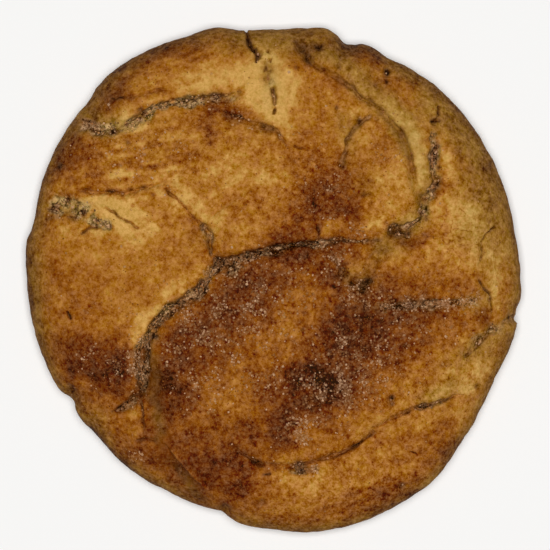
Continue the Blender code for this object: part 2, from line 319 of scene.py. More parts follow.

# Folds and cracks, from their depth and width to how far they lean. The darkness of their
# floors is mostly painted shade
FOLDS = (
    Fold("main", 3.0, 0.92, 1.1, -0.5, 2, 4, 1.5, 0.1, 0.06,
         ((-24.3, -21.5), (-24.3, -16.5), (-24.0, -12.0), (-22.5, -8.5), (-20.3, -6.0),
          (-17.0, -3.6), (-13.8, -1.2), (-11.4, 1.8), (-9.0, 3.9), (-5.0, 4.9)), 0.5),
    Fold("main right", 2.8, 0.62, 1.1, -0.5, 4, 7, 1.5, 0.12, 0.06,
         ((-9.0, 3.9), (-5.0, 4.9), (0, 6.1), (5.0, 7.0), (8.3, 7.1), (14.0, 8.0)), 0.5),
    # A painted shadow line where the left plate's lip meets the crack, on a shallow groove
    Fold("main foot", 0.4, 0.3, 0.0, 0.0, 2, 3, 0.0, 0.3, 0.0,
         ((-24.2, -15.5), (-23.6, -11.5), (-22.2, -8.5), (-20.1, -6.1), (-17.4, -4.0)), 1.0),
    Fold("main lower end", 0.8, 0.9, 0.0, 0.0, 1.5, 3, 1.3, 0.0, 0.0,
         ((-24.4, -20.8), (-24.3, -16.5), (-23.9, -12.5), (-22.8, -9.3))),
    Fold("main inner corner", 0.8, 1.8, 0.0, -0.1, 1, 3, 1.2, 0.16, 0.0,
         ((-11.0, 2.8), (-8.6, 3.0), (-4.5, 2.9))),
    Fold("main spur", 1.0, 0.22, 0.0, 0.0, 0.5, 1, 0.0, 0.5, 0.0,
         ((8.3, 7.0), (8.3, 8.8), (8.0, 10.3))),
    Fold("main dark end", 0.3, 0.8, 0.0, 0.0, 4, 2, 0.0, 0.26, 0.0,
         ((-11.4, 1.8), (-9.0, 3.7), (-5.0, 4.7), (0, 5.9), (5.0, 6.8), (8.6, 7.0))),
    Fold("main column", 0.4, 1.1, 0.0, 0.0, 2, 2, 0.3, 0.16, 0.0,
         ((10.0, 6.6), (11.0, 4.0), (13.0, 1.0), (15.5, -1.0))),
    Fold("main tail", 0.5, 0.8, 0.0, 0.0, 2, 2, 0.55, 0.12, 0.0,
         ((9.0, 6.7), (12.0, 7.2), (16.0, 7.1), (20.2, 7.1))),
    Fold("main left branch", 1.3, 0.6, 0.1, 0.3, 1, 2, 0.6, 0.24, 0.0,
         ((-24.6, -20.8), (-26.5, -22.6), (-30.0, -24.3))),
    Fold("main lower branch", 1.2, 0.36, 0.2, 0.0, 1, 2.5, 0.2, 0.46, 0.0,
         ((-24.2, -21.3), (-23.5, -24.5), (-23.3, -28.9))),
    Fold("soft valley", 1.3, 2.6, 0.0, 0.0, 5, 7, 0.0, 0.06, 0.0,
         ((-21.8, -15.0), (-21.6, -21.0), (-21.0, -27.0), (-18.4, -32.6), (-13.0, -38.6))),
    # A raised ridge whose paler crest line is a painted highlight
    Fold("low ridge", -0.6, 0.6, 0.0, 0.0, 3, 3, 0.0, -0.16, 0.0,
         ((-20.8, -28.0), (-17.6, -32.2), (-14.0, -36.0), (-9.7, -40.7))),
    Fold("low slit", 0.7, 0.3, 0.0, 0.0, 0.5, 0.5, 0.0, 0.24, 0.0,
         ((-25.3, -29.9), (-23.4, -29.2), (-21.0, -29.6)), -0.15),
    Fold("inner riser", 1.6, 0.26, 0.0, 0.8, 1, 1.5, 0.15, 0.42, 0.14,
         ((-12.2, 9.8), (-14.8, 11.9), (-17.3, 14.7), (-19.6, 16.4))),
    Fold("inner riser low", 1.6, 0.75, 0.0, 0.8, 1, 1, 0.8, 0.14, 0.14,
         ((-11.0, 4.0), (-11.2, 6.0), (-11.6, 8.4), (-13.0, 10.6))),
    Fold("left crumbly crack", 1.2, 1.7, 0.3, 0.3, 1.5, 2, 1.05, -0.12, 0.0,
         ((-41.8, 13.2), (-39.5, 13.4), (-37.0, 13.0), (-34.8, 12.2), (-33.0, 11.2))),
    Fold("left crumbly top", 0.7, 0.9, 0.2, 0.0, 1, 1, 1.0, -0.08, 0.0,
         ((-40.8, 14.4), (-38.6, 14.9), (-36.4, 14.2), (-35.0, 13.0))),
    Fold("left crack end", 1.2, 0.75, 0.3, 0.3, 1, 0.8, 1.3, 0.08, 0.0,
         ((-33.8, 11.6), (-31.8, 10.4), (-30.3, 9.8), (-29.0, 9.8))),
    Fold("left hairline", 0.6, 0.18, 0.0, 0.0, 0.5, 0.5, 0.0, 0.5, 0.0,
         ((-35.0, 8.2), (-34.0, 9.0), (-32.8, 9.5), (-31.5, 9.3))),
    Fold("left slit", 1.0, 0.18, 0.0, 0.0, 0.6, 0.6, 0.0, 0.6, 0.0,
         ((-30.8, 13.2), (-29.8, 12.8), (-28.6, 12.0), (-27.9, 11.3), (-26.9, 10.9),
          (-25.7, 10.2), (-25.0, 9.6), (-24.1, 9.2))),
    Fold("flap edge", 1.0, 0.36, -0.2, 0.6, 2, 2, 0.12, 0.14, 0.16,
         ((-36.0, 16.5), (-33.0, 16.3), (-31.0, 16.0), (-29.3, 16.1), (-27.3, 15.9),
          (-25.3, 16.3), (-23.2, 16.9), (-19.0, 18.4)), 0.25),
    Fold("upper left crumb", 0.8, 1.7, 0.3, 0.0, 1.5, 1.5, 0.85, 0.12, 0.0,
         ((-36.0, 28.9), (-34.3, 28.5), (-31.8, 28.0), (-29.5, 27.5), (-27.8, 27.7))),
    Fold("upper left fold", 1.9, 0.95, 0.9, -0.4, 3, 5, 1.3, 0.04, 0.06,
         ((-29.2, 27.2), (-27.6, 27.9), (-25.6, 29.4), (-22.0, 31.6), (-18.6, 32.6),
          (-12.7, 33.5), (-8.3, 33.7), (-5.0, 34.6)), 0.5),
    Fold("upper left hairline", 0.7, 0.34, 0.2, 0.0, 1, 1, 0.0, 0.24, 0.0,
         ((-30.0, 33.2), (-25.0, 33.7), (-21.3, 34.8), (-19.0, 35.0)), 0.3),
    Fold("upper diagonal", 0.9, 0.85, 0.3, 0.0, 3, 1, 0.12, 0.2, 0.06,
         ((-10.5, 31.7), (-8.4, 30.4), (-6.0, 29.6), (-4.0, 28.6), (-2.6, 28.5), (-1.0, 28.0),
          (0.6, 27.4)), 0.35),
    Fold("upper drop", 0.8, 0.34, 0.2, 0.0, 1.2, 0.6, 0.3, 0.22, 0.0,
         ((-2.8, 28.5), (-0.9, 27.8), (0.6, 27.2), (1.3, 26.4), (1.9, 25.4), (2.7, 24.2)), 0.05),
    Fold("upper diagonal slit", 0.8, 0.3, 0.0, 0.0, 0.8, 0.8, 0.2, 0.3, 0.0,
         ((-8.0, 30.2), (-6.0, 29.6), (-4.2, 28.7))),
    Fold("upper dash", 0.5, 0.2, 0.0, 0.0, 0.5, 0.5, 0.0, 0.3, 0.0,
         ((3.7, 24.6), (4.5, 24.1), (5.7, 23.8))),
    Fold("top slit left", 1.3, 0.34, 0.2, 0.2, 0.5, 0.4, 0.4, 0.7, 0.0,
         ((-5.0, 46.4), (-4.6, 44.4), (-4.3, 42.9), (-3.3, 41.7))),
    Fold("top slit middle", 1.2, 0.34, 0.1, 0.1, 0.4, 0.4, 0.35, 0.75, 0.0,
         ((-3.6, 42.3), (-2.8, 41.0), (-3.1, 39.4))),
    Fold("top slit short", 0.8, 0.2, 0.0, 0.0, 0.3, 0.3, 0.0, 0.75, 0.0,
         ((-0.9, 42.1), (-1.1, 41.2))),
    Fold("top slit right", 0.8, 0.2, 0.0, 0.0, 0.3, 0.3, 0.0, 0.6, 0.0,
         ((-0.2, 40.5), (-0.4, 39.4))),
    Fold("top crumb", 0.3, 0.6, 0.0, 0.0, 1, 1, 0.36, -0.1, 0.0,
         ((-1.3, 40.6), (-1.1, 38.0), (-0.6, 36.0), (-0.1, 34.6)), -0.3),
    Fold("top slit low", 1.2, 0.42, 0.0, 0.0, 0.5, 0.3, 0.4, 0.55, 0.0,
         ((-0.1, 35.2), (0.1, 33.2), (0.4, 31.6))),
    Fold("top slit lowest", 1.0, 0.24, 0.0, 0.0, 0.3, 0.3, 0.1, 0.8, 0.0,
         ((0.4, 31.3), (0.2, 29.8))),
    Fold("right arch", 0.85, 0.65, 0.8, 0.0, 3, 4, 0.0, 0.25, 0.1, ARCH, 0.35),
    # A raised ridge beside the arch, made a little paler as a painted highlight
    Fold("arch ridge", -0.35, 1.5, 0.0, 0.0, 4, 4, 0.0, -0.05, 0.0, ARCH, -2.0),
    Fold("right arch inner", 0.8, 0.5, 0.0, 0.0, 1.2, 1, 0.24, 0.34, 0.0,
         ((18.0, 30.6), (16.6, 29.0), (14.8, 27.6), (13.4, 25.4), (12.7, 22.5),
          (12.0, 19.8)), -0.1),
    Fold("right crease top", 1.0, 0.22, 0.0, 0.0, 0.4, 0.3, 0.0, 0.7, 0.0,
         ((30.5, 32.0), (30.3, 31.2), (30.4, 29.8))),
    Fold("right crease bar", 1.0, 0.3, 0.0, 0.0, 0.3, 0.4, 0.1, 0.55, 0.0,
         ((30.6, 29.3), (29.6, 29.1), (28.5, 28.8))),
    Fold("right crease", 1.4, 0.95, 0.2, 0.3, 1.5, 1.5, 0.86, 0.05, 0.05,
         ((29.2, 27.6), (29.2, 25.6), (29.5, 23.8), (28.8, 21.6), (29.0, 19.4), (29.3, 17.6),
          (28.5, 15.9), (27.5, 14.4), (27.2, 12.6), (27.4, 10.8)), 0.1),
    Fold("right crease wall", 1.7, 0.7, 0.0, 0.7, 1, 0.8, 0.86, 0.08, 0.08,
         ((27.4, 11.6), (25.2, 10.9), (23.4, 10.1), (21.9, 9.9), (21.0, 9.5), (20.7, 8.0)), -0.35),
    Fold("right pocket", 0.8, 1.3, 0.0, 0.0, 1, 1, 1.0, -0.02, 0.0,
         ((21.2, 9.1), (22.8, 8.9), (25.2, 8.6))),
    Fold("right tail", 0.5, 1.0, 0.0, 0.0, 2, 3, 0.1, 0.12, 0.0,
         ((20.6, 7.4), (18.8, 4.5), (17.2, 0.5), (15.0, -2.0))),
    Fold("right shallow crease", 0.9, 0.8, 0.3, 0.2, 2, 2, 0.78, 0.02, 0.0,
         ((18.5, -4.7), (24.0, -4.6), (28.0, -4.2), (34.0, -4.0), (38.5, -3.6))),
    Fold("right hairline", 0.6, 0.2, 0.0, 0.0, 0.8, 0.8, 0.0, 0.56, 0.0,
         ((37.5, 0.4), (37.8, -0.8), (39.5, -2.6), (40.0, -4.5), (40.0, -6.5))),
    Fold("right upper hairline", 0.7, 0.18, 0.0, 0.0, 0.6, 1, 0.0, 0.4, 0.0,
         ((40.9, 9.8), (39.3, 8.8), (38.0, 6.9), (38.2, 4.6), (37.3, 2.4)), 0.1),
    Fold("right edge fold", 1.0, 1.1, 0.4, 0.0, 1, 2, 0.5, -0.06, 0.05,
         ((45.5, -6.5), (42.5, -8.1), (39.1, -10.2), (37.2, -12.1), (34.4, -14.9))),
    Fold("right edge slit", 0.8, 0.24, 0.0, 0.0, 0.6, 0.6, 0.1, 0.36, 0.0,
         ((39.6, -9.8), (37.8, -11.8), (35.0, -14.3))),
    Fold("lower fold", 1.7, 0.3, 1.0, -0.5, 7, 4, 0.25, 0.26, 0.1,
         ((-8.8, -29.0), (-7.2, -30.7), (-4.9, -32.2), (-2.3, -33.5), (3.5, -33.9), (10.0, -32.6),
          (15.2, -30.4), (19.2, -27.0), (24.8, -24.0), (30.0, -22.5), (35.5, -20.9)), -0.35),
    Fold("lower fold middle", 0.6, 0.32, 0.0, 0.0, 1, 1, 0.2, 0.34, 0.0,
         ((14.0, -30.9), (16.6, -29.2), (19.2, -27.2)), -0.1),
    Fold("lower fold crumb", 0.5, 0.6, 0.0, 0.0, 1, 1.5, 0.7, 0.1, 0.0,
         ((26.0, -23.4), (28.0, -22.9), (31.5, -22.1)), -0.1),
    Fold("lower fold start", 0.6, 0.34, 0.0, 0.0, 1.5, 2, 0.0, 0.24, 0.0,
         ((-4.4, -32.7), (-2.3, -33.7), (0.5, -34.2), (3.5, -34.1), (6.5, -33.7))),
    Fold("lower pocket", 0.8, 1.0, 0.0, 0.0, 1, 1, 0.75, 0.15, 0.0,
         ((2.6, -34.6), (8.8, -34.4))),
    Fold("lower slit", 0.8, 0.22, 0.0, 0.0, 0.4, 0.4, 0.0, 0.8, 0.0,
         ((-2.2, -35.4), (-0.2, -35.2))),
    Fold("lower right slit", 0.7, 0.2, 0.0, 0.0, 0.3, 0.3, 0.0, 0.7, 0.0,
         ((24.9, -31.2), (26.4, -31.8))),
    Fold("left side slit", 0.8, 0.16, 0.0, 0.0, 0.4, 0.4, 0.0, 0.7, 0.0,
         ((-37.4, -5.5), (-36.6, -7.4))),
)

# Round dents in the crust, by their depth in millimetres; painted shade darkens their floors
PITS = ovals(
    (23.2, 9.1, 2.4, 0.9, 6, 1.2), (-10.0, 3.4, 1.3, 1.3, 0, 0.7),
    (-24.4, -21.0, 1.2, 1.2, 0, 0.8), (5.4, 42.2, 0.8, 0.8, 0, 0.8),
    (6.4, 40.3, 0.8, 0.8, 0, 0.9), (8.4, 42.6, 0.7, 0.7, 0, 0.7), (-0.8, 38.6, 0.9, 0.9, 0, 0.7),
    (-1.1, 36.0, 0.8, 0.8, 0, 0.6), (20.9, 38.0, 0.6, 0.9, 0, 0.8),
    (21.6, -21.9, 0.8, 0.8, 0, 0.7), (-8.9, -42.1, 0.9, 0.9, 0, 0.9),
    (23.7, -37.8, 0.7, 0.7, 0, 0.6), (-37.0, -20.0, 1.1, 1.1, 0, 0.8),
    (5.4, -34.7, 1.4, 1.4, 0, 0.8), (16.0, -0.6, 1.6, 1.6, 0, 0.6),
    (-2.0, -40.6, 0.7, 0.7, 0, 0.6), (37.5, -19.5, 0.6, 0.6, 0, 0.5),
)

# Small dark spots and nicks in the skin
MARKS = ovals(
    (-39.6, 13.7, 0.7, 0.5, 20, 0.6), (-37.6, 14.8, 0.6, 0.4, 20, 0.6),
    (-34.4, 12.2, 0.5, 0.6, 0, 0.8), (-36.3, 11.3, 0.9, 0.4, 0, 0.6),
    (-40.6, 13.0, 0.8, 0.35, -10, 0.5), (-40.4, 11.3, 1.0, 0.5, 10, 0.4),
    (-32.0, 10.9, 0.5, 0.5, 0, 0.4), (-29.6, 9.7, 0.9, 0.4, -10, 0.6),
    (-38.8, 20.8, 0.8, 0.7, 30, 0.4), (-34.2, 28.7, 0.7, 0.5, -40, 0.6),
    (-32.5, 29.5, 0.7, 0.8, 0, 0.4), (-32.4, 27.4, 0.6, 0.4, 0, 0.4),
    (-28.7, 27.0, 1.0, 0.4, 20, 0.5), (-26.6, 28.3, 0.4, 0.4, 0, 0.5),
    (-24.1, 30.9, 0.7, 0.4, 20, 0.6), (-23.4, 30.3, 0.4, 0.4, 0, 0.6),
    (-24.1, 29.2, 0.6, 0.4, 0, 0.5), (-31.1, 26.1, 0.4, 0.4, 0, 0.4),
    (-26.4, 24.9, 0.4, 0.5, 0, 0.4), (-29.3, 16.1, 0.9, 0.4, 0, 0.6),
    (-27.3, 15.5, 0.4, 0.6, 0, 0.45), (-21.7, 15.4, 0.6, 0.4, -30, 0.5),
    (-25.8, 16.4, 0.5, 0.5, 0, 0.4), (-23.4, 16.9, 0.8, 0.5, 15, 0.45),
    (-19.3, 16.4, 0.7, 0.35, -10, 0.5), (-25.4, 13.5, 0.4, 0.4, 0, 0.35),
    (-1.5, 38.1, 0.4, 0.6, 0, 0.4), (-0.8, 36.6, 0.6, 0.5, 0, 0.4), (4.3, 38.5, 0.5, 0.4, 0, 0.4),
    (1.8, 38.2, 0.4, 0.3, 0, 0.3), (11.5, 31.3, 0.4, 0.4, 0, 0.5), (6.2, 40.7, 0.5, 0.8, 0, 0.25),
    (8.5, 42.6, 0.6, 0.5, 40, 0.3), (4.2, 43.2, 0.5, 0.7, 0, 0.35),
    (12.0, 38.6, 0.5, 0.5, 0, 0.4), (-12.7, 33.6, 0.6, 0.6, 0, 0.5),
    (-10.3, 33.4, 1.1, 0.4, 0, 0.55), (-6.1, 34.1, 0.4, 0.6, 0, 0.4),
    (15.6, 28.9, 0.5, 0.7, 0, 0.7), (18.9, 29.2, 0.4, 0.5, 20, 0.35),
    (23.3, 27.2, 0.4, 0.8, 10, 0.35), (25.2, 22.5, 0.4, 0.8, -10, 0.3),
    (28.7, 21.6, 0.5, 0.9, 15, 0.4), (29.5, 23.0, 0.5, 0.5, 0, 0.4),
    (29.8, 24.3, 0.4, 0.4, 0, 0.45), (30.1, 20.4, 0.35, 0.35, 0, 0.9),
    (26.6, 15.5, 0.4, 0.5, 0, 0.5), (27.6, 14.7, 0.5, 0.4, 0, 0.4),
    (26.6, 12.2, 0.7, 0.4, 0, 0.4), (27.8, 11.1, 0.4, 0.6, 0, 0.4),
    (21.2, 9.5, 0.5, 0.7, 0, 0.35), (22.9, 9.2, 0.9, 0.5, -10, 0.25),
    (24.4, 8.0, 0.6, 0.5, 30, 0.2), (16.6, 15.4, 1.3, 0.6, 0, 0.35),
    (17.8, 14.0, 0.4, 0.5, 0, 0.35), (19.0, 7.2, 0.8, 0.4, 0, 0.4),
    (20.4, 10.5, 0.4, 0.5, 0, 0.35), (17.3, -0.2, 0.8, 0.6, 20, 0.5),
    (14.2, -0.8, 0.5, 0.5, 0, 0.4), (16.2, -1.8, 0.6, 0.6, 0, 0.4), (5.3, -9.0, 0.4, 0.4, 0, 0.5),
    (5.8, -6.0, 0.5, 0.35, 0, 0.3), (23.8, -12.0, 0.6, 0.6, 0, 0.4),
    (25.0, -4.2, 0.35, 0.8, 0, 0.4), (22.6, -4.9, 0.7, 0.35, 0, 0.4),
    (21.6, -21.3, 0.45, 0.45, 0, 0.8), (21.6, -22.6, 0.35, 0.35, 0, 0.5),
    (27.6, -23.0, 0.5, 0.35, 20, 0.4), (24.6, -24.2, 0.6, 0.3, 25, 0.3),
    (-1.4, 39.6, 0.4, 0.4, 0, 0.4), (-0.5, 37.9, 0.4, 0.3, 0, 0.35),
    (-1.6, 36.6, 0.35, 0.5, 0, 0.4), (0.2, 34.4, 0.5, 0.4, 0, 0.3), (22.6, 8.4, 1.8, 0.9, 6, 0.2),
    (0.3, 35.0, 0.4, 0.4, 0, 0.3), (-1.2, 38.6, 0.35, 0.5, 0, 0.5),
    (-0.9, 37.2, 0.35, 0.4, 0, 0.5), (20.9, 38.0, 0.35, 0.6, 0, 0.9),
    (20.7, 36.0, 0.3, 0.5, 0, 0.5), (-25.7, -21.9, 0.5, 0.4, 30, 0.4),
    (-28.0, -23.2, 0.6, 0.4, 30, 0.4),
)

# Broad rises of the top, in millimetres
SWELLS = ovals(
    (5, -13, 27, 17, 22, 1.5), (-33, -1, 10, 15, -10, 0.9), (-25, 24, 13, 7, 18, 0.8),
    (-20, 39, 17, 5, 14, 0.5), (-3, 17, 11, 11, 0, 1.1), (20, 22, 6, 10, 20, 0.8),
    (37, 16, 8, 16, 12, 0.7), (31, 3, 9, 6, 5, 0.7), (0, 36, 4, 6, 0, 0.4),
    (30, -29, 12, 7, 40, 0.5), (-20, -31, 9, 8, -40, 0.4), (2, -39, 12, 4, 2, 0.5),
)

# How much browner, or with a minus how much paler, the skin is than its even ground. Most
# ovals are the bake's own tone; those beside the folds are painted shade, and those on the rim
# partly so
BROWNED_AND_SHADED = ovals(
    # The oval plate, under the main fold
    (-7, -4.8, 16.5, 6, 34, 0.46), (3, 5.5, 6, 2.5, 10, 0.32), (-18.5, -20.4, 4, 5.2, 0, 0.48),
    (-21.6, -13, 1.2, 4, 8, -0.03), (-16, -13, 5.5, 4, 30, 0.24), (-5, -14, 12, 9, 45, 0.16),
    (-13.5, -18, 2, 2.5, 0, 0.1), (-10.5, 6, 3, 1.8, 0, 0.14), (2.5, 9, 4, 1.8, 0, 0.26),
    (-9, -9, 5, 2, 0, -0.08), (-1.5, -8, 4, 2.6, 20, -0.12), (-15, -12.5, 4.2, 1.8, 0, -0.13),
    (-17, -9, 2.6, 1.6, 0, 0.14), (1.5, -6, 3.5, 2, 0, -0.12), (1.5, 0, 3.5, 2, 0, 0.1),
    (-6.3, -27.4, 4, 2.6, -20, 0.38), (-18, -31.5, 2.2, 3, 0, 0.13), (-1, -20.5, 3, 2.5, 0, 0.12),
    # The dark band across the plate, from the right shallow crease down to the lower fold
    (17, -8, 9, 7, 0, 0.52), (27, -5.5, 6, 2.5, -5, 0.38), (9, -19, 7, 5, 0, 0.45),
    (13, -8, 6, 6, 0, 0.18), (-7, 0.5, 5.5, 3, 30, 0.14), (26, -9, 5, 2, 0, 0.13),
    (21, -4.6, 2.6, 2, 0, -0.1), (24.5, -15, 2, 1.6, 0, -0.1), (21, -13, 6, 2.5, 0, 0.15),
    (8.5, -18, 3, 2, 0, 0.2), (4, -24, 6, 4, 0, 0.32), (12, -12, 2.2, 2, 0, 0.14),
    (1.5, -28, 2.5, 4, 0, 0.4), (13, -17, 9, 4, 0, 0.18), (10.5, -22, 4.5, 3.2, 0, 0.25),
    (4, -13.5, 4, 5, 0, 0.1), (6, -18, 1.8, 1.8, 0, 0.14), (6, -21.5, 2, 1.6, 0, -0.12),
    (26, -22, 5, 2, 10, 0.12), (12.5, -27, 4, 2.5, 0, 0.17), (6, -30.3, 10, 1.8, 0, 0.14),
    (27, -1.5, 9, 2.5, 0, 0.18), (38, -8, 4, 2.5, 40, 0.22), (11.5, 0.5, 3, 3, 0, 0.32),
    (20, 1.5, 3, 2.5, 0, 0.1), (15.6, 0.4, 1.6, 1.4, 0, -0.14),
    # Between the inner riser and the right crease
    (9.8, 14.8, 6, 5.5, -15, 0.44), (11, 5, 4.5, 3.5, 0, 0.3), (7, 12, 4, 2, 0, 0.12),
    (14.8, 16.5, 3, 3.5, 0, 0.12), (9.8, 9, 2, 1.5, 0, -0.12), (15.5, 8.6, 2.8, 1.6, 0, 0.14),
    (17.4, 10.8, 2.8, 0.8, 30, -0.22), (0.5, 12.2, 2.5, 1.8, 0, 0.12),
    (-15, 9.3, 1.8, 1.8, 0, 0.14), (5.5, 23, 5.5, 4, 0, 0.15), (9.5, 18, 2, 2, 0, 0.08),
    (23.8, 6.8, 4, 1.8, 10, 0.22), (20.5, 24, 2.5, 2.5, 0, 0.13), (12.3, 27.2, 2.2, 1.8, 0, 0.14),
    (0.5, 24.5, 3, 2, 0, 0.1),
    # The left plate's lower end
    (-36, -17, 2, 2, 0, 0.12), (-33, -15, 8, 3.6, -18, 0.43), (-30.6, -15, 1.8, 1.3, 0, -0.12),
    (-33, -18.3, 2.2, 1.4, 0, -0.14), (-28, -17, 4, 4, -10, 0.28), (-34, -3, 6, 6, 0, 0.12),
    (-28, -12, 4, 3, 0, 0.18), (-27.3, -18, 1.6, 2, 0, 0.2), (-26.4, -12.5, 1.0, 4, 0, 0.16),
    (-36, -17.6, 2, 1.6, 0, 0.12), (-39.3, -11, 2, 3, 0, 0.1),
    # Lower left
    (-26, -26, 10, 6, -35, 0.22), (-10, -33, 9.5, 6, -15, 0.36), (-22.5, -31.5, 6, 2, -20, 0.06),
    (-13, -33.5, 3.5, 2.5, 0, 0.15), (-6, -39, 4, 3, 0, 0.22), (-16, -37, 5.5, 2.5, -38, 0.14),
    (-24, -24.5, 2.5, 2, 0, -0.15), (-31, -26.5, 4, 2, -30, -0.12),
    # Lower right
    (19.5, -39.8, 8.5, 2.6, 15, 0.2), (32, -30, 4, 4, 0, 0.16),
    # Upper left
    (-36, 23, 4.5, 6, -20, 0.24), (-42, 18.5, 2.4, 2.6, -20, 0.22), (-20, 22, 10, 5, 5, -0.04),
    (-30, 33, 4, 3, 30, 0.3), (-27, 33, 2.5, 2, 0, 0.14), (-23, 39.8, 8, 2.6, 22, 0.22),
    (-13, 44.8, 4, 1.4, 8, 0.14), (-7.2, 31.4, 4.5, 2.4, -20, 0.34),
    (-5.5, 30.2, 4.5, 1.2, -25, 0.12), (-30.5, 24.5, 2.5, 1.5, 0, 0.12),
    (-20, 22, 7, 3.5, -5, 0.12), (-11.2, 29.8, 1.4, 1.6, 0, 0.3), (-11.5, 33, 2, 1.4, 0, -0.18),
    (-11.6, 26.6, 1.2, 1.5, 0, 0.3), (-28, 20.5, 3.5, 2.2, 0, -0.13),
    (-23.5, 15, 2, 1.4, 0, 0.12), (-25, 28.4, 4, 2, 20, -0.12), (-14.5, 24.5, 2.5, 2, 0, -0.12),
    # Upper right
    (8, 43.4, 5, 2, -10, 0.2), (17, 41.3, 4.5, 2.5, -25, 0.32), (5, 40.2, 4, 2.8, 0, 0.24),
    (3, 38.6, 1.8, 1.8, 0, 0.12), (10.6, 39.4, 2.4, 1.3, 0, 0.16), (9, 45.4, 2, 1, 0, 0.12),
    (30.2, 16.8, 1.4, 2.2, 10, 0.24), (10, 21.3, 3, 1.8, 0, -0.1), (9, 6, 1.8, 1.4, 0, -0.12),
    (29.4, 22.4, 0.7, 1.3, 0, 0.14), (21, 33.5, 2.2, 2, 0, 0.22), (36.5, 18, 2.5, 2.5, 0, 0.16),
    (37.8, 21, 2.5, 1.8, 0, 0.12), (17.2, 35.4, 3.6, 1.1, -42, 0.2),
    (30.6, 21, 1.0, 1.8, 0, -0.12), (34, 21, 1.6, 1.6, 0, 0.12), (26, 27, 2, 2.5, 0, -0.1),
    (26.9, 20, 1.1, 5, 8, -0.12), (31.5, 12.5, 4, 2.5, 0, -0.1),
    # Paler places
    (-28, 12, 6, 3, -15, -0.3), (-19.5, -4.4, 7.5, 2.6, 42, -0.24), (-36, 10, 4, 1.8, 0, -0.16),
    (-17, 13.5, 4, 2.5, 0, -0.1), (-25, 8, 6, 2, 0, -0.1), (-24.5, -9, 2, 3, 0, -0.14),
    (-30, 6, 3, 2, 0, -0.1), (-7, 10, 3.4, 2, 0, -0.14), (-8, 20, 7, 3.5, 0, -0.14),
    (-6, 25.5, 3, 3, 0, -0.1), (2, 18.5, 6.5, 4, 0, -0.14), (-9, 37, 11, 3, 5, -0.25),
    (0, 35.5, 4.5, 6.5, 0, -0.42), (-26, 28.5, 3, 2, 0, -0.1), (-6, 36.4, 2.2, 1.4, 0, -0.12),
    (-32, 29.8, 6, 2.2, 0, -0.22), (-32.5, 26.8, 4, 1.6, 0, -0.12), (-39, 15.2, 2, 1.6, 0, -0.15),
    (22, 15.5, 3.5, 4.5, -20, -0.15), (34, 10, 5, 8, 0, -0.16), (41.5, -1, 2.5, 6, 0, -0.18),
    (36.5, -19, 3.4, 5, -30, -0.3), (34.5, -25.5, 3, 3, 0, -0.12), (6.5, -38, 4, 2.3, 0, -0.14),
    (4.5, -36.4, 4, 1.4, 0, -0.1), (27, -36, 3, 2, 0, -0.1), (16, 26, 3, 3, 0, -0.05),
    (15, 30.4, 2.2, 1.8, 0, -0.18), (23.6, 27.6, 1.4, 1.6, 0, -0.14),
    (-31.5, 14.4, 4, 1.3, -8, -0.16), (-27.5, 10.6, 4, 2.2, -30, -0.1),
    (-31, 8.8, 3, 1.3, 0, -0.18), (0, 39.5, 4.5, 3.5, 0, -0.14), (-0.5, 34, 4, 5, 0, -0.22),
    (0, 36, 1.6, 1.6, 0, -0.12), (41, -2.7, 1.4, 4, 0, -0.14), (40.8, 6, 1.4, 5, 0, -0.12),
    (-25.4, -24.4, 1.5, 2.2, 0, -0.14), (-27, -25.2, 2.5, 1.5, 0, -0.14),
    (9.8, 8.9, 1.4, 1.0, 0, -0.14), (31.5, 24, 1.4, 3.5, 0, -0.2), (3, -36.2, 5, 1.2, 0, -0.1),
    # Painted shade on the slopes beside the folds
    (39.2, -3, 1.2, 1.6, 0, 0.12), (-9, 6, 1.8, 1.3, 0, 0.1), (1.5, 8.5, 6, 1.3, 8, 0.16),
    (23.4, 6.8, 2.6, 0.9, 5, 0.2), (13, -31, 5, 2.5, 20, 0.1), (-14.3, -36.6, 4, 2.4, -45, 0.1),
    (-20.5, -35.6, 1.8, 1.2, -35, 0.14), (-10.4, 28, 1.3, 4.5, 5, 0.18),
    (27.3, 8.6, 2.4, 1.6, 0, 0.2),
    # The rim, where it turns down: darker, partly its browner bake and partly painted shade
    (-45.2, 3, 1.0, 15, 0, 0.16), (-31.1, -30.3, 12, 1.0, -45, 0.42),
    (32.3, 33.0, 12, 1.0, -45, 0.1),
)

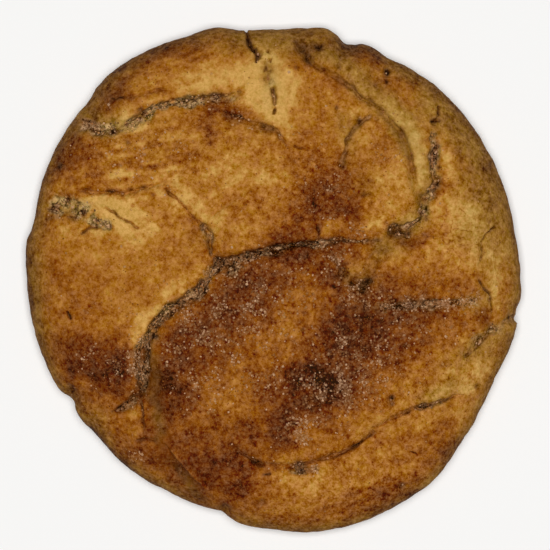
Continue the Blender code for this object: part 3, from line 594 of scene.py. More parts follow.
# How olive the skin is
ASHEN = ovals(
    (-27.5, 11.2, 4.2, 0.5, -31, 0.5), (-33.2, 9.0, 2.2, 0.5, 25, 0.4),
    # The arch at the upper right, olive as painted shade along its groove and ridge, and the
    # crumbly skin beside the right crease
    (9, 41, 6, 3, -25, 0.6), (17, 35, 7, 2.6, -45, 0.7), (24.5, 26, 6, 2.6, -65, 0.8),
    (27, 17, 6, 2.4, 80, 0.7), (25, 10, 4, 2.5, 15, 0.7),
    # The right rim, broad, and the top
    (38, 12, 5, 12, 10, 0.8), (34, 28, 4, 10, 40, 0.6), (0, 43, 12, 3, 0, 0.6),
    (39, -12, 5, 2, 35, 0.5), (16, 0, 4, 5, 0, 0.4), (28, -4.3, 11, 1.6, 0, 0.4),
    (31, -21, 5, 2, 20, 0.5), (0, 35, 4, 6, 0, 0.3),
    # The left rim, the smooth border of the oval plate and the lower right rim, whose olive is
    # partly painted shade where they turn from the light
    (-43, -2, 3, 13, 0, 0.4), (-30, 33, 9, 5, 45, 0.3), (-21.3, -17, 1.4, 7, 4, 0.7),
    (-21.2, -26, 1.4, 4, 12, 0.6), (-15.4, -36.6, 5.5, 1.2, -48, 0.6), (19.5, 6, 2.5, 2, 0, 0.4),
    (17, 24, 6, 9, 30, 0.2), (35, -13, 5, 3, 45, 0.35), (38, -4, 3, 5, 0, 0.3),
    (-8, -7, 10, 6, 35, -0.4), (-0.5, 36, 1.4, 5, 0, 0.4), (-12, 8, 4, 2.5, 0, 0.3),
    (22, 5.5, 4, 2.5, 0, 0.4), (10, -16, 5, 4, 0, -0.3),
    # Crumbly skin beside the upper left fold and the left crack, and dense sugar
    (-31, 28.3, 6, 2, 0, 0.6), (-37, 12.8, 5, 1.8, -8, 0.5), (-11, 33.5, 4, 1.5, 0, 0.5),
    (8, -21, 5, 2.5, 0, 0.3), (-22, 24, 13, 7, 8, 0.25), (14, 29, 3, 2, 0, 0.3),
    (22, 31, 8, 3, -55, 0.25), (31, -17, 4, 4, 0, 0.25), (13.5, 25, 1.2, 4, 10, 0.35),
    (-4, 29, 5, 1.6, -25, 0.1), (17.4, 10.8, 3, 1.4, 30, -0.5), (-15, -7, 8, 4, 30, -0.3),
    (1, 2, 4, 3, 0, -0.3), (17, 17, 4, 3, 0, 0.3), (28.5, 30, 5, 3, -50, 0.35),
    (24, 38, 3, 2, -40, 0.3), (28, -21, 5, 3, 20, 0.25), (33, 8.5, 3, 3, 0, 0.3),
    (-32, -25, 4, 3, -40, 0.3), (18, -6, 3, 2, 0, 0.3), (-11, -42, 4, 2, -25, -0.4),
)

# How much blotchier, or with a minus how much calmer, the skin is
MOTTLED = ovals(
    (-30, 2, 11, 10, 0, -0.2), (-10, 37, 12, 4, 0, -0.25), (36, 12, 8, 12, 0, 0.05),
    (-22, 22, 12, 7, 0, 0.05), (14, -37, 14, 5, 8, -0.25), (10, -15, 22, 14, 20, 0.2),
    (0, 35, 4, 7, 0, -0.3), (-21.5, -19, 1.4, 8, 3, -0.55), (-20.4, -29.5, 1.4, 3.5, 22, -0.5),
    (-15.4, -36.4, 5, 1.2, -48, -0.5),
)

# How much stronger, or with a minus how much weaker, the skin's fine grain is
GRAINED = ovals(
    (14, -38, 15, 7, 8, 0.45), (-30, 2, 11, 10, 0, -0.1), (36, 12, 8, 12, 0, 0.1),
    (-8, 38, 13, 4, 5, -0.25), (2, 35, 4, 8, 0, -0.3), (25.5, 26, 3, 10, 30, -0.3),
    (-21.5, -19, 1.5, 8, 3, -0.5), (-20.4, -29.5, 1.4, 3.5, 22, -0.4),
    (-15.4, -36.4, 5, 1.2, -48, -0.4), (5, 18, 9, 7, 0, 0.2), (28, -20, 10, 6, 20, 0.25),
)

# How thickly sugar lies
SUGARED = ovals(
    (29, -4.2, 8, 1.3, 3, 0.35), (-14.5, -8, 6.5, 4.5, 30, 0.25), (-14, -18, 3.5, 5, 20, 0.4),
    (-25, -14, 1.5, 6, 0, 0.5), (-8, -10, 14, 11, 30, 0.22), (-5, -10, 7, 4, 30, 0.25),
    (0, -18, 4, 2.5, 0, 0.5), (9, -21, 6, 3, 0, 0.65), (6, -27.5, 4.5, 2.5, 0, 0.8),
    (12, -14, 6, 4, 0, 0.5), (16, -2, 3.5, 3, 0, 0.7), (26, -8, 8, 5, 0, 0.2),
    (29, -4.3, 9, 1.2, 2, 0.7), (-6, -4, 8, 4, 30, 0.3), (-33.5, -13.5, 2, 1.5, 0, 0.6),
    (-28, -16.5, 4, 3, 0, 0.4), (21, 23, 3, 3, 0, 0.2), (-26, -32, 3, 2, 0, 0.3),
    (16, -14, 7, 6, 0, 0.35), (5.6, -34.7, 3.5, 1, 0, 1.0), (9, 15, 5, 6, 0, 0.3),
    (2, 0, 7, 4, 0, 0.2), (34, -4, 6, 2.0, 0, 0.3), (-9, 2, 4, 2, 20, 0.4),
    (20, -20, 8, 3, 20, 0.2), (-8, 31, 4, 2, -25, 0.2), (11, 4, 2.5, 4, 0, 0.4),
    (16, 8, 2, 2, 0, 0.3), (13, -21, 3, 2, 0, 0.25), (-21.5, -19, 1.4, 8, 3, -0.6),
    (-24, 22, 10, 5, 0, 0.3), (-8, 30.5, 4, 1.6, -25, 0.3),
)

# Streaks like wood grain, along each oval's turn
WRINKLED = ovals(
    (-24, 22, 12, 6, 8, 1.0), (-20, 40, 12, 4, 18, 0.5), (-8, 14, 7, 5, 40, 0.4),
    (-30, -26, 9, 6, -35, 0.5), (20, -38, 12, 5, 15, 0.5), (32, 24, 5, 8, 60, 0.4),
)

# A net of fine cracks
CRACKLED = ovals(
    (34, 9, 6, 8, 0, 1.0), (37, -14, 5, 6, 0, 0.7), (26, -33, 8, 4, 30, 0.5),
    (-35, 14, 6, 3, 0, 0.4), (5, 18, 7, 7, 0, 0.4),
)


@dataclass(frozen=True)
class CookieForm:
    """The whole biscuit's shape, from its driving sizes in millimetres.

    A crown stands on a rolled rim that is a quarter ellipse from the shoulder to the widest
    point, and under it the edge tucks in along a second quarter ellipse to the flat base. A
    fold's lip rises and fades over lip_rise and lip_reach, and notch is the deepest that a fold
    cuts into the widest point. The outline's points are an angle in degrees and a radius.
    """

    shoulder: float = 11.2
    crown: float = 3.0
    crown_power: float = 0.8
    equator: float = 4.9
    roll: float = 9.0
    tuck: float = 3.2
    lip_reach: float = 9.0
    lip_rise: float = 1.4
    notch: float = 0.8
    centre: tuple[float, float] = (0.2, 1.0)
    outline: tuple[tuple[float, float], ...] = (
        (0, 45.3), (8, 45.0), (24, 45.3), (58, 45.3), (62, 45.0), (69, 45.4), (71, 44.7),
        (73, 44.4), (75, 45.4), (77, 46.1), (83, 45.6), (91, 45.1), (98, 45.4), (102, 46.5),
        (110, 46.7), (120, 47.3), (128, 47.7), (133, 47.4), (136, 46.8), (144, 46.6),
        (153, 46.2), (160, 45.8), (169, 45.3), (172, 45.9), (178, 45.6), (190, 45.3),
        (200, 45.1), (209, 44.6), (212.5, 43.6), (214.5, 44.2), (221, 44.0), (232, 44.5),
        (250, 44.6), (259, 45.3), (261, 46.0), (270, 47.0), (277, 47.9), (288, 48.4),
        (300, 48.2), (307, 48.1), (316, 46.7), (326, 45.5), (335, 44.9), (346, 45.6),
        (350, 45.5), (352, 45.0), (354, 45.4),
    )
    swells: Patches = SWELLS
    swell_edge: float = 1.5
    waves: int = 14
    wave_seed: int = 7
    wave_lengths: tuple[float, float] = (5.0, 16.0)
    wave_height: float = 0.28

    def radius(self, angle: np.ndarray) -> np.ndarray:
        """The outline's radius at each angle.

        A closed cubic runs through the outline's points, with a slope at each one set by its
        neighbours.

        Args:
            angle: angles in radians, anticlockwise from +X.

        Returns:
            The radius about the outline's centre, in millimetres.
        """
        keys, values = np.array(self.outline, float).T
        keys = np.concatenate([[keys[-1] - 360], keys, [keys[0] + 360, keys[1] + 360]])
        values = np.concatenate([[values[-1]], values, [values[0], values[1]]])
        slopes = np.gradient(values, keys)
        at = np.mod(np.degrees(angle), 360.0)
        i = np.clip(np.searchsorted(keys, at, side="right") - 1, 0, len(keys) - 2)
        span = keys[i + 1] - keys[i]
        t = (at - keys[i]) / span
        start = (1 + 2 * t) * (1 - t) ** 2 * values[i] + t * (1 - t) ** 2 * span * slopes[i]
        end = t * t * (3 - 2 * t) * values[i + 1] + t * t * (t - 1) * span * slopes[i + 1]
        return start + end

    def plan(self, out: np.ndarray, angle: np.ndarray) -> tuple[np.ndarray, np.ndarray]:
        """Plan places from a distance and an angle about the outline's centre."""
        return self.centre[0] + out * np.cos(angle), self.centre[1] + out * np.sin(angle)

    def inset(self, x: np.ndarray, y: np.ndarray) -> np.ndarray:
        """How far inside the outline each place is, and 0 beyond it."""
        dx, dy = x - self.centre[0], y - self.centre[1]
        return (self.radius(np.arctan2(dy, dx)) - np.hypot(dx, dy)).clip(0, None)

    def inner(self, x: np.ndarray, y: np.ndarray, bare: float, fade: float) -> np.ndarray:
        """0 up to a bare length inside the outline, easing to 1 over the fade behind it."""
        return ease((self.inset(x, y) - bare) / fade)

    def crown_height(self, x: np.ndarray, y: np.ndarray) -> np.ndarray:
        """The plain crown: a quarter ellipse over the rim, then a gentle dome.

        The dome is a power of the share of the way in from the outline, eased in over the roll.

        Args:
            x: places along X, in millimetres.
            y: places along Y.

        Returns:
            The height at each place, in millimetres.
        """
        dx, dy = x - self.centre[0], y - self.centre[1]
        edge = self.radius(np.arctan2(dy, dx))
        inset = edge - np.hypot(dx, dy)
        over = (1 - inset / self.roll).clip(0, 1)
        rolled = self.equator + (self.shoulder - self.equator) * np.sqrt(1 - over**2)
        inward = (1 - np.hypot(dx, dy) / edge).clip(0, 1)
        return rolled + self.crown * (inward**self.crown_power * ease(inset / self.roll))

    def unevenness(self, x: np.ndarray, y: np.ndarray) -> np.ndarray:
        """Broad swells, and a sum of plane waves in seeded directions.

        Args:
            x: places along X, in millimetres.
            y: places along Y.

        Returns:
            The rise at each place, in millimetres.
        """
        rise = summed(self.swells, x, y, self.swell_edge)
        height = self.wave_height / math.sqrt(self.waves)
        draw = np.random.RandomState(self.wave_seed)
        for _ in range(self.waves):
            length, turn, phase = draw.uniform(*self.wave_lengths), *draw.uniform(0, math.tau, 2)
            across = x * math.cos(turn) + y * math.sin(turn)
            rise += height * np.sin(math.tau * across / length + phase)
        return rise


@dataclass
class Surface:
    """Points of the crust with what the finishes read there."""

    place: np.ndarray
    browning: np.ndarray
    ashen: np.ndarray
    crumb: np.ndarray
    mottle: np.ndarray
    grain: np.ndarray
    sugar: np.ndarray
    crackle: np.ndarray


@dataclass
class Crust:
    """The closed outer surface of the biscuit.

    The top is a disc of rings, ring i with 6 i points, so that its triangles are all about one
    size. Rings of the widest count run down the side, and a coarser disc closes the base.
    """

    form: CookieForm
    rings: int = 150
    side_rings: int = 13
    painted: tuple[str, ...] = ("browning", "ashen", "crumb", "mottle", "grain", "sugar", "crackle")
    # What lies on the top, place by place
    folds: tuple[Fold, ...] = FOLDS
    pits: Patches = PITS
    marks: Patches = MARKS
    darkened: Patches = BROWNED_AND_SHADED
    olive: Patches = ASHEN
    mottled: Patches = MOTTLED
    grained: Patches = GRAINED
    sugared: Patches = SUGARED
    wrinkled: Patches = WRINKLED
    crackled: Patches = CRACKLED
    # Noise that moves a fold's line, in millimetres, and the least share of it for a thin fold
    ragged: float = 0.3
    jagged: float = 0.12
    least_ragged: float = 0.15
    rags: Lumps = Lumps(1.5, 11, 3)
    jags: Lumps = Lumps(0.7, 15, 2)
    # How a fold's width, its crumb and, where it is narrower than narrow, its depth vary
    widening: Varying = Varying(1.0, 0.6, Lumps(2.6, 12, 2), 0.42, 1.8)
    breaking: Varying = Varying(0.85, 0.8, Lumps(1.3, 13, 2), 0.2, 1.1)
    gaps: Varying = Varying(1.0, 0.6, Lumps(1.1, 14, 2), 0.3, 1.3)
    narrow: float = 0.4
    most_crumb: float = 1.2
    section: Section = Section()
    # How deep a mark is, how much painted shade darkens a pit's floor, and how crumbly it is
    nick: float = 0.3
    pit_shade: float = 0.28
    pit_crumb: float = 0.16
    # The skin's own relief, in millimetres
    lumps: float = 0.10
    lump_noise: Lumps = Lumps(2.2, 31, 2)
    grain: float = 0.05
    grain_noise: Lumps = Lumps(0.9, 32)
    crumb_grain: float = 0.3
    crumb_noise: Lumps = Lumps(0.8, 33, 3)
    # Streaks: their noise, how much longer than wide they are, their depth and their browning
    streak_noise: Lumps = Lumps(0.9, 25, 2)
    streak_length: float = 4.0
    streak_depth: float = 0.1
    streak_brown: float = 0.3
    # How far the mesh draws in to a fold, the widest such fold, the move's reach, and the rim
    draw_in: float = 0.62
    draw_widest: float = 2.0
    draw_reach: tuple[float, float] = (0.7, 1.2)
    draw_rim: tuple[float, float] = (0.5, 3.0)
    # Browning and painted shade: the even ground, what pushes the ovals' edges, and the rim's
    # share and reach. The rim's darkening is partly its browner bake and partly painted shade
    # where it turns from the light
    ground: float = 0.3
    brown_push: Push = Push(1.3, Lumps(3.6, 21, 4), Lumps(3.6, 22, 4))
    brown_edge: float = 1.3
    rim_brown_and_shade: tuple[float, float] = (0.26, 4.0)
    foot_brown: float = 0.6
    # Olive: what pushes the ovals' edges, and the shares of the rim, the crumb and the folds.
    # The rim's olive is partly painted shade, and the folds' olive tints their painted shade
    olive_push: Push = Push(0.8, Lumps(3.0, 23, 2), Lumps(3.0, 24, 2))
    olive_edge: float = 1.2
    rim_olive_and_shade: tuple[float, float, float] = (0.9, 2.2, 1.5)
    crumb_olive: float = 0.6
    fold_shade_olive: float = 1.1
    # Sugar: the bare length inside the outline and the fade behind it
    sugar_rim: tuple[float, float] = (1.0, 2.0)
    # The base: how far inside the foot its disc ends, the depth and the places of its dimples,
    # its browning, and how much paler its middle is. A fade takes one over its number of the radius
    base_inset: float = 0.5
    dimple: float = 0.35
    dimples: Varying = Varying(-0.25, 1.0, Lumps(3.0, 41, 3), 0.0, 1.0)
    dimple_fade: float = 12.0
    base_brown: Varying = Varying(0.62, 0.16, Lumps(9.0, 42, 2), 0.0, 1.0)
    middle_pale: float = 0.2
    middle_fade: float = 3.0

    def disc(self, rings: int) -> tuple[np.ndarray, np.ndarray, np.ndarray]:
        """A flat disc of rings, whose points are numbered from the middle out.

        Each point of a ring has a triangle on its outer side, and each but the last of a sector
        has one on its inner side.

        Args:
            rings: how many rings stand round the middle point.

        Returns:
            Each point's share of the way out, its angle, and the triangles, facing up.
        """
        count = np.arange(1, rings + 1)
        ring = np.repeat(count, 6 * count)
        first = 1 + 3 * ring * (ring - 1)
        number = np.arange(1, 1 + 3 * rings * (rings + 1)) - first
        angle = math.tau * number / (6 * ring)
        sector, step = number // ring, number % ring
        inner = ring - 1
        inner_first = 1 + 3 * inner * (inner - 1)
        inner_number, round_it = sector * inner + step, (6 * inner).clip(1)
        here = np.where(inner > 0, inner_first + inner_number % round_it, 0)
        beyond = np.where(inner > 0, inner_first + (inner_number + 1) % round_it, 0)
        outer = first + number
        outer_next = first + (number + 1) % (6 * ring)
        out = np.stack([here, outer, outer_next], axis=1)
        back = np.stack([here, outer_next, beyond], axis=1)[step < inner]
        share = np.concatenate([[0], ring / rings])
        return share, np.concatenate([[0], angle]), np.vstack([out, back])

    def relief(self, x: np.ndarray, y: np.ndarray) -> tuple[np.ndarray, ...]:
        """Folds and pits, with what they do to the finish, such as painted shade in their floors.

        A fold's valley falls as exp of minus the distance over its width, to a power, and is
        steeper on the side of its higher lip. The lips rise beside it and fade back. Noise moves
        the line to and fro, so that the edges are ragged.

        Args:
            x: places along X, in millimetres.
            y: places along Y.

        Returns:
            The height in millimetres, the crumb share and the change of browning, mostly painted
            shade in crease floors and pits, with the dark marks.
        """
        form, section = self.form, self.section
        sway, jag = self.ragged * self.rags.at(x, y), self.jagged * self.jags.at(x, y)
        swell, gaps = self.widening.at(x, y), self.gaps.at(x, y)
        rise, crumb, brown = np.zeros(len(x)), np.zeros(len(x)), np.zeros(len(x))
        for fold in self.folds:
            log.debug("fold %s", fold.name)
            off_x, off_y, side, strength = fold.nearest(x, y)
            off = side * np.hypot(off_x, off_y) + fold.lean
            thin = self.least_ragged + (1 - self.least_ragged) * min(1.0, fold.width)
            off += sway * thin + jag
            away = np.abs(off)
            tilt = np.sign(fold.left - fold.right)
            high = tilt * off > 0
            low_width = section.slow_width if tilt else section.even_width
            low_power = section.slow_power if tilt else section.even_power
            reach = away / (fold.width * np.where(high, section.steep_width, low_width) * swell)
            valley = np.exp(-(reach ** np.where(high, section.steep_power, low_power)))
            cut = strength * (gaps if fold.width < self.narrow else 1.0)
            lip = np.where(off > 0, fold.left, fold.right)
            lip = lip * (1 - np.exp(-away / form.lip_rise)) * np.exp(-away / form.lip_reach)
            rise += strength * lip - cut * (fold.depth * valley)
            floor = np.exp(-((section.crumb_share * reach) ** section.crumb_power))
            crumb = np.maximum(crumb, fold.crumb * strength * floor)
            # Painted shade: the crease floor darkens over the foot's width
            brown += fold.brown * cut * np.exp(-((reach / section.foot_width) ** 2))
            band = np.exp(-(((away - section.pale_middle) / section.pale_width) ** 2))
            brown -= fold.pale * strength * high * band
        for pit in self.pits:
            hole = pit.at(x, y)
            rise -= hole
            # Painted shade: each pit's floor darkens
            brown += self.pit_shade * hole / pit.amount
            crumb = np.maximum(crumb, self.pit_crumb * hole / pit.amount)
        for mark in self.marks:
            spot = mark.at(x, y)
            rise -= self.nick * spot
            brown += spot
        return rise, (crumb * self.breaking.at(x, y)).clip(0, self.most_crumb), brown

    def drawn_in(self, x: np.ndarray, y: np.ndarray) -> tuple[np.ndarray, np.ndarray]:
        """Draws places in towards the nearest fold, so that the mesh is finest on its edges.

        A place at a distance d from the line moves in by a share of d that falls as exp of minus
        the square of d over a reach. The move fades out at the rim.

        Args:
            x: places along X, in millimetres.
            y: places along Y.

        Returns:
            The moved places.
        """
        least, more = self.draw_reach
        best = np.full(len(x), np.inf)
        move = np.zeros((2, len(x)))
        for fold in self.folds:
            if fold.width < self.draw_widest:
                off_x, off_y, _, _ = fold.nearest(x, y)
                away = np.hypot(off_x, off_y)
                share = self.draw_in * np.exp(-((away / (least + more * fold.width)) ** 2))
                near = away < best
                best = np.where(near, away, best)
                move = np.where(near, -share * np.stack([off_x, off_y]), move)
        move *= self.form.inner(x, y, *self.draw_rim)
        return x + move[0], y + move[1]

    def skin(self, x: np.ndarray, y: np.ndarray, z: np.ndarray) -> np.ndarray:
        """The skin's own relief, in millimetres: coarse noise plus fine noise."""
        return self.lumps * self.lump_noise.at(x, y, z) + self.grain * self.grain_noise.at(x, y, z)

    def wrinkles(self, x: np.ndarray, y: np.ndarray) -> np.ndarray:
        """Streaks from -1 to 1: noise that is drawn out along the turn of each soft oval.

        Args:
            x: places along X, in millimetres.
            y: places along Y.

        Returns:
            The streaks' strength.
        """
        total = np.zeros(len(x))
        for patch in self.wrinkled:
            along, across = turned(x, y, patch.turn)
            total += patch.at(x, y) * self.streak_noise.at(along / self.streak_length, across)
        return total

    def browning(self, x: np.ndarray, y: np.ndarray) -> np.ndarray:
        """How browned the skin is, with painted shade: soft ovals on an even ground, some of them
        painted shade beside the folds, and a rim that fades inwards, partly its browner bake and
        partly painted shade.

        Args:
            x: places along X, in millimetres.
            y: places along Y.

        Returns:
            The browning with its painted shade, 0 or more.
        """
        share, reach = self.rim_brown_and_shade
        # Partly painted shade: the rim darkens towards the outline
        rim = share * np.exp(-self.form.inset(x, y) / reach)
        tone = summed(self.darkened, *self.brown_push.moved(x, y), self.brown_edge)
        return (self.ground + tone + rim).clip(0, None)

    def ashen(
        self, x: np.ndarray, y: np.ndarray, crumb: np.ndarray, brown: np.ndarray
    ) -> np.ndarray:
        """How olive the skin is: soft ovals, the cracks and their edges, and the very rim. The
        rim's olive is partly painted shade, and the folds' olive tints their painted shade.

        Args:
            x: places along X, in millimetres.
            y: places along Y.
            crumb: the crumb share there.
            brown: what folds, pits and marks add to the browning there, mostly painted
                shade.

        Returns:
            The share of the olive ramp.
        """
        share, reach, power = self.rim_olive_and_shade
        # Partly painted shade: olive at the very rim, and with the folds' painted shade
        rim = share * np.exp(-((self.form.inset(x, y) / reach) ** power))
        tone = summed(self.olive, *self.olive_push.moved(x, y), self.olive_edge)
        return tone + rim + self.crumb_olive * crumb + self.fold_shade_olive * brown.clip(0, 1)

    def top(self) -> tuple[Surface, np.ndarray]:
        """The top and its roll-over, out to the widest point.

        The share of the way out is a length along the profile: across the crown, then round the
        quarter ellipse by equal angles. Relief lifts the crown and, round the roll-over, turns
        into a push outwards.

        Returns:
            The surface and its triangles.
        """
        form = self.form
        share, angle, triangles = self.disc(self.rings)
        radius = form.radius(angle)
        flat = np.mean(radius) - form.roll
        arc = QUARTER * math.sqrt((form.roll**2 + (form.shoulder - form.equator) ** 2) / 2)
        along = share * (flat + arc)
        turn = ((along - flat) / arc).clip(0, 1) * QUARTER
        out = (radius - form.roll) * (along / flat).clip(0, 1) + form.roll * np.sin(turn)
        x, y = self.drawn_in(*form.plan(out, angle))
        angle = np.arctan2(y - form.centre[1], x - form.centre[0])
        turn = np.arcsin((1 - form.inset(x, y) / form.roll).clip(0, 1))
        z = form.crown_height(x, y)
        rise, crumb, brown = self.relief(x, y)
        streaks = self.wrinkles(x, y)
        rise -= self.streak_depth * streaks
        skin = self.skin(x, y, z) + self.crumb_grain * crumb * self.crumb_noise.at(x, y, z)
        sunk = (rise.clip(-form.notch, 0) + skin) * np.sin(turn)
        up = (rise + form.unevenness(x, y) + skin) * np.cos(turn)
        place = np.stack([x + sunk * np.cos(angle), y + sunk * np.sin(angle), z + up], axis=1)
        surface = Surface(
            place,
            browning=self.browning(x, y) + brown + self.streak_brown * streaks,
            ashen=self.ashen(x, y, crumb, brown),
            crumb=crumb,
            mottle=1 + summed(self.mottled, x, y),
            grain=1 + summed(self.grained, x, y),
            sugar=summed(self.sugared, x, y) * form.inner(x, y, *self.sugar_rim),
            crackle=summed(self.crackled, x, y),
        )
        return surface, triangles

    def side(self) -> Surface:
        """Rings under the widest point, by equal angles of the second quarter ellipse.

        Relief pushes outwards and fades towards the base, where the skin turns evenly brown.

        Returns:
            The surface. Its triangles are made where the pieces are joined.
        """
        form = self.form
        count = 6 * self.rings
        turn = np.repeat(np.arange(1, self.side_rings + 1) / self.side_rings * QUARTER, count)
        angle = np.tile(math.tau * np.arange(count) / count, self.side_rings)
        x, y = form.plan(form.radius(angle) - form.tuck * (1 - np.cos(turn)), angle)
        z = form.equator * (1 - np.sin(turn))
        rise, crumb, brown = self.relief(x, y)
        sunk = (rise.clip(-form.notch, 0) + self.skin(x, y, z)) * np.cos(turn)
        darkened = self.browning(x, y) * np.cos(turn) ** 2 + self.foot_brown * np.sin(turn) ** 2
        one, zero = np.ones(len(x)), np.zeros(len(x))
        return Surface(
            place=np.stack([x + sunk * np.cos(angle), y + sunk * np.sin(angle), z], axis=1),
            browning=darkened + brown * np.cos(turn),
            ashen=self.ashen(x, y, crumb, brown) * np.cos(turn),
            crumb=crumb * np.cos(turn),
            mottle=one,
            grain=one,
            sugar=zero,
            crackle=zero,
        )

    def base(self) -> tuple[Surface, np.ndarray]:
        """The baked underside: flat, with shallow dimples that never reach below it.

        Returns:
            The surface and its triangles, facing down.
        """
        form = self.form
        share, angle, triangles = self.disc(self.rings // 2)
        x, y = form.plan((form.radius(angle) - form.tuck - self.base_inset) * share, angle)
        dimple = self.dimple * self.dimples.at(x, y) * ease((1 - share) * self.dimple_fade)
        middle = ease((1 - share) * self.middle_fade)
        darkened = self.base_brown.at(x, y) - self.middle_pale * middle
        one, zero = np.ones(len(x)), np.zeros(len(x))
        place = np.stack([x, y, dimple], axis=1)
        return Surface(place, darkened, zero, zero, one, one, zero, zero), triangles[:, ::-1]

    def build(self) -> tuple[bpy.types.Object, Surface, np.ndarray]:
        """Joins top, side and base into one closed mesh, moved onto the solid's own place.

        Two triangles join each point of a ring to the next ring down. The base's rim has half
        as many points as the lowest ring, so three triangles join each of them to two there.

        Returns:
            The object, its surface in metres and the triangles of its top.
        """
        top, up = self.top()
        side = self.side()
        base, down = self.base()
        count = 6 * self.rings
        first_under = len(top.place) + len(side.place)
        seam = len(top.place) - count
        here = seam + np.arange(count * self.side_rings)
        step = (here - seam) % count
        turned_on = here - step + (step + 1) % count
        upper = np.stack([here, here + count, turned_on + count], axis=1)
        lower = np.stack([here, turned_on + count, turned_on], axis=1)
        rim = first_under - count + np.arange(count)
        inner = first_under + len(base.place) - count // 2 + np.arange(count // 2)
        ahead = np.roll(inner, -1)
        even, odd, after = rim[0::2], rim[1::2], np.roll(rim[0::2], -1)
        closing = np.vstack([
            np.stack([odd, even, inner], axis=1),
            np.stack([ahead, odd, inner], axis=1),
            np.stack([after, odd, ahead], axis=1),
        ])
        triangles = np.vstack([up, upper, lower, closing, down + first_under])
        joined = Surface(*(
            np.concatenate([getattr(part, name) for part in (top, side, base)])
            for name in ("place", *self.painted)
        ))
        low, high = (np.array(corner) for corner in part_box(NODE))
        middle = (low[:2] + high[:2]) / 2
        plan = joined.place[:, :2]
        shift = middle / MM - (plan.min(axis=0) + plan.max(axis=0)) / 2
        joined.place[:, :2] += shift
        joined.place *= MM
        piece = put_down("crust", joined.place, triangles)
        for name in self.painted:
            paint(piece, name, getattr(joined, name))
        return piece, joined, up


def put_down(name: str, places: np.ndarray, triangles: np.ndarray) -> bpy.types.Object:
    """Makes a smooth-shaded mesh object at the origin.

    Args:
        name: the object's name.
        places: points in metres.
        triangles: three point numbers for each face.

    Returns:
        The object, linked to the scene.
    """
    mesh = bpy.data.meshes.new(name)
    mesh.vertices.add(len(places))
    mesh.vertices.foreach_set("co", places.astype(np.float32).ravel())
    mesh.loops.add(triangles.size)
    mesh.loops.foreach_set("vertex_index", triangles.astype(np.int32).ravel())
    mesh.polygons.add(len(triangles))
    mesh.polygons.foreach_set("loop_start", np.arange(0, triangles.size, 3, dtype=np.int32))
    mesh.update(calc_edges=True)
    mesh.validate()
    mesh.shade_smooth()
    piece = bpy.data.objects.new(name, mesh)
    bpy.context.collection.objects.link(piece)
    return piece


def paint(piece: bpy.types.Object, name: str, values: np.ndarray) -> None:
    """Stores one number for each point of a piece, under a name that its material reads."""
    layer = piece.data.attributes.new(name, "FLOAT", "POINT")
    layer.data.foreach_set("value", values.astype(np.float32))


class GrainShape(Enum):
    """The solids that scattered grains are cut from."""

    CRYSTAL = "crystal"
    CRUMB = "crumb"
    FLAKE = "flake"


def grain_solid(shape: GrainShape) -> tuple[np.ndarray, np.ndarray]:
    """A closed convex solid of about unit width.

    A crystal is a cube, a crumb has the twelve corners of an icosahedron, and a flake is an
    octahedron.

    Args:
        shape: which solid.

    Returns:
        Its corners and its triangles, facing out.
    """
    ends = (-1, 1)
    if shape is GrainShape.CRYSTAL:
        corners = np.array([(a, b, c) for a in ends for b in ends for c in ends], float) / 2
    elif shape is GrainShape.CRUMB:
        long = (1 + math.sqrt(5)) / 2
        flat = np.array([(0, a, b * long) for a in ends for b in ends], float)
        corners = np.vstack([np.roll(flat, k, axis=1) for k in range(3)]) / (2 * long)
    else:
        corners = np.vstack([np.eye(3), -np.eye(3)]) / 2
    bm = bmesh.new()
    points = [bm.verts.new(corner) for corner in corners]
    bmesh.ops.convex_hull(bm, input=points)
    bmesh.ops.triangulate(bm, faces=bm.faces)
    bmesh.ops.recalc_face_normals(bm, faces=bm.faces)
    bm.verts.index_update()
    triangles = np.array([[v.index for v in face.verts] for face in bm.faces])
    corners = np.array([v.co[:] for v in bm.verts])
    bm.free()
    return corners, triangles


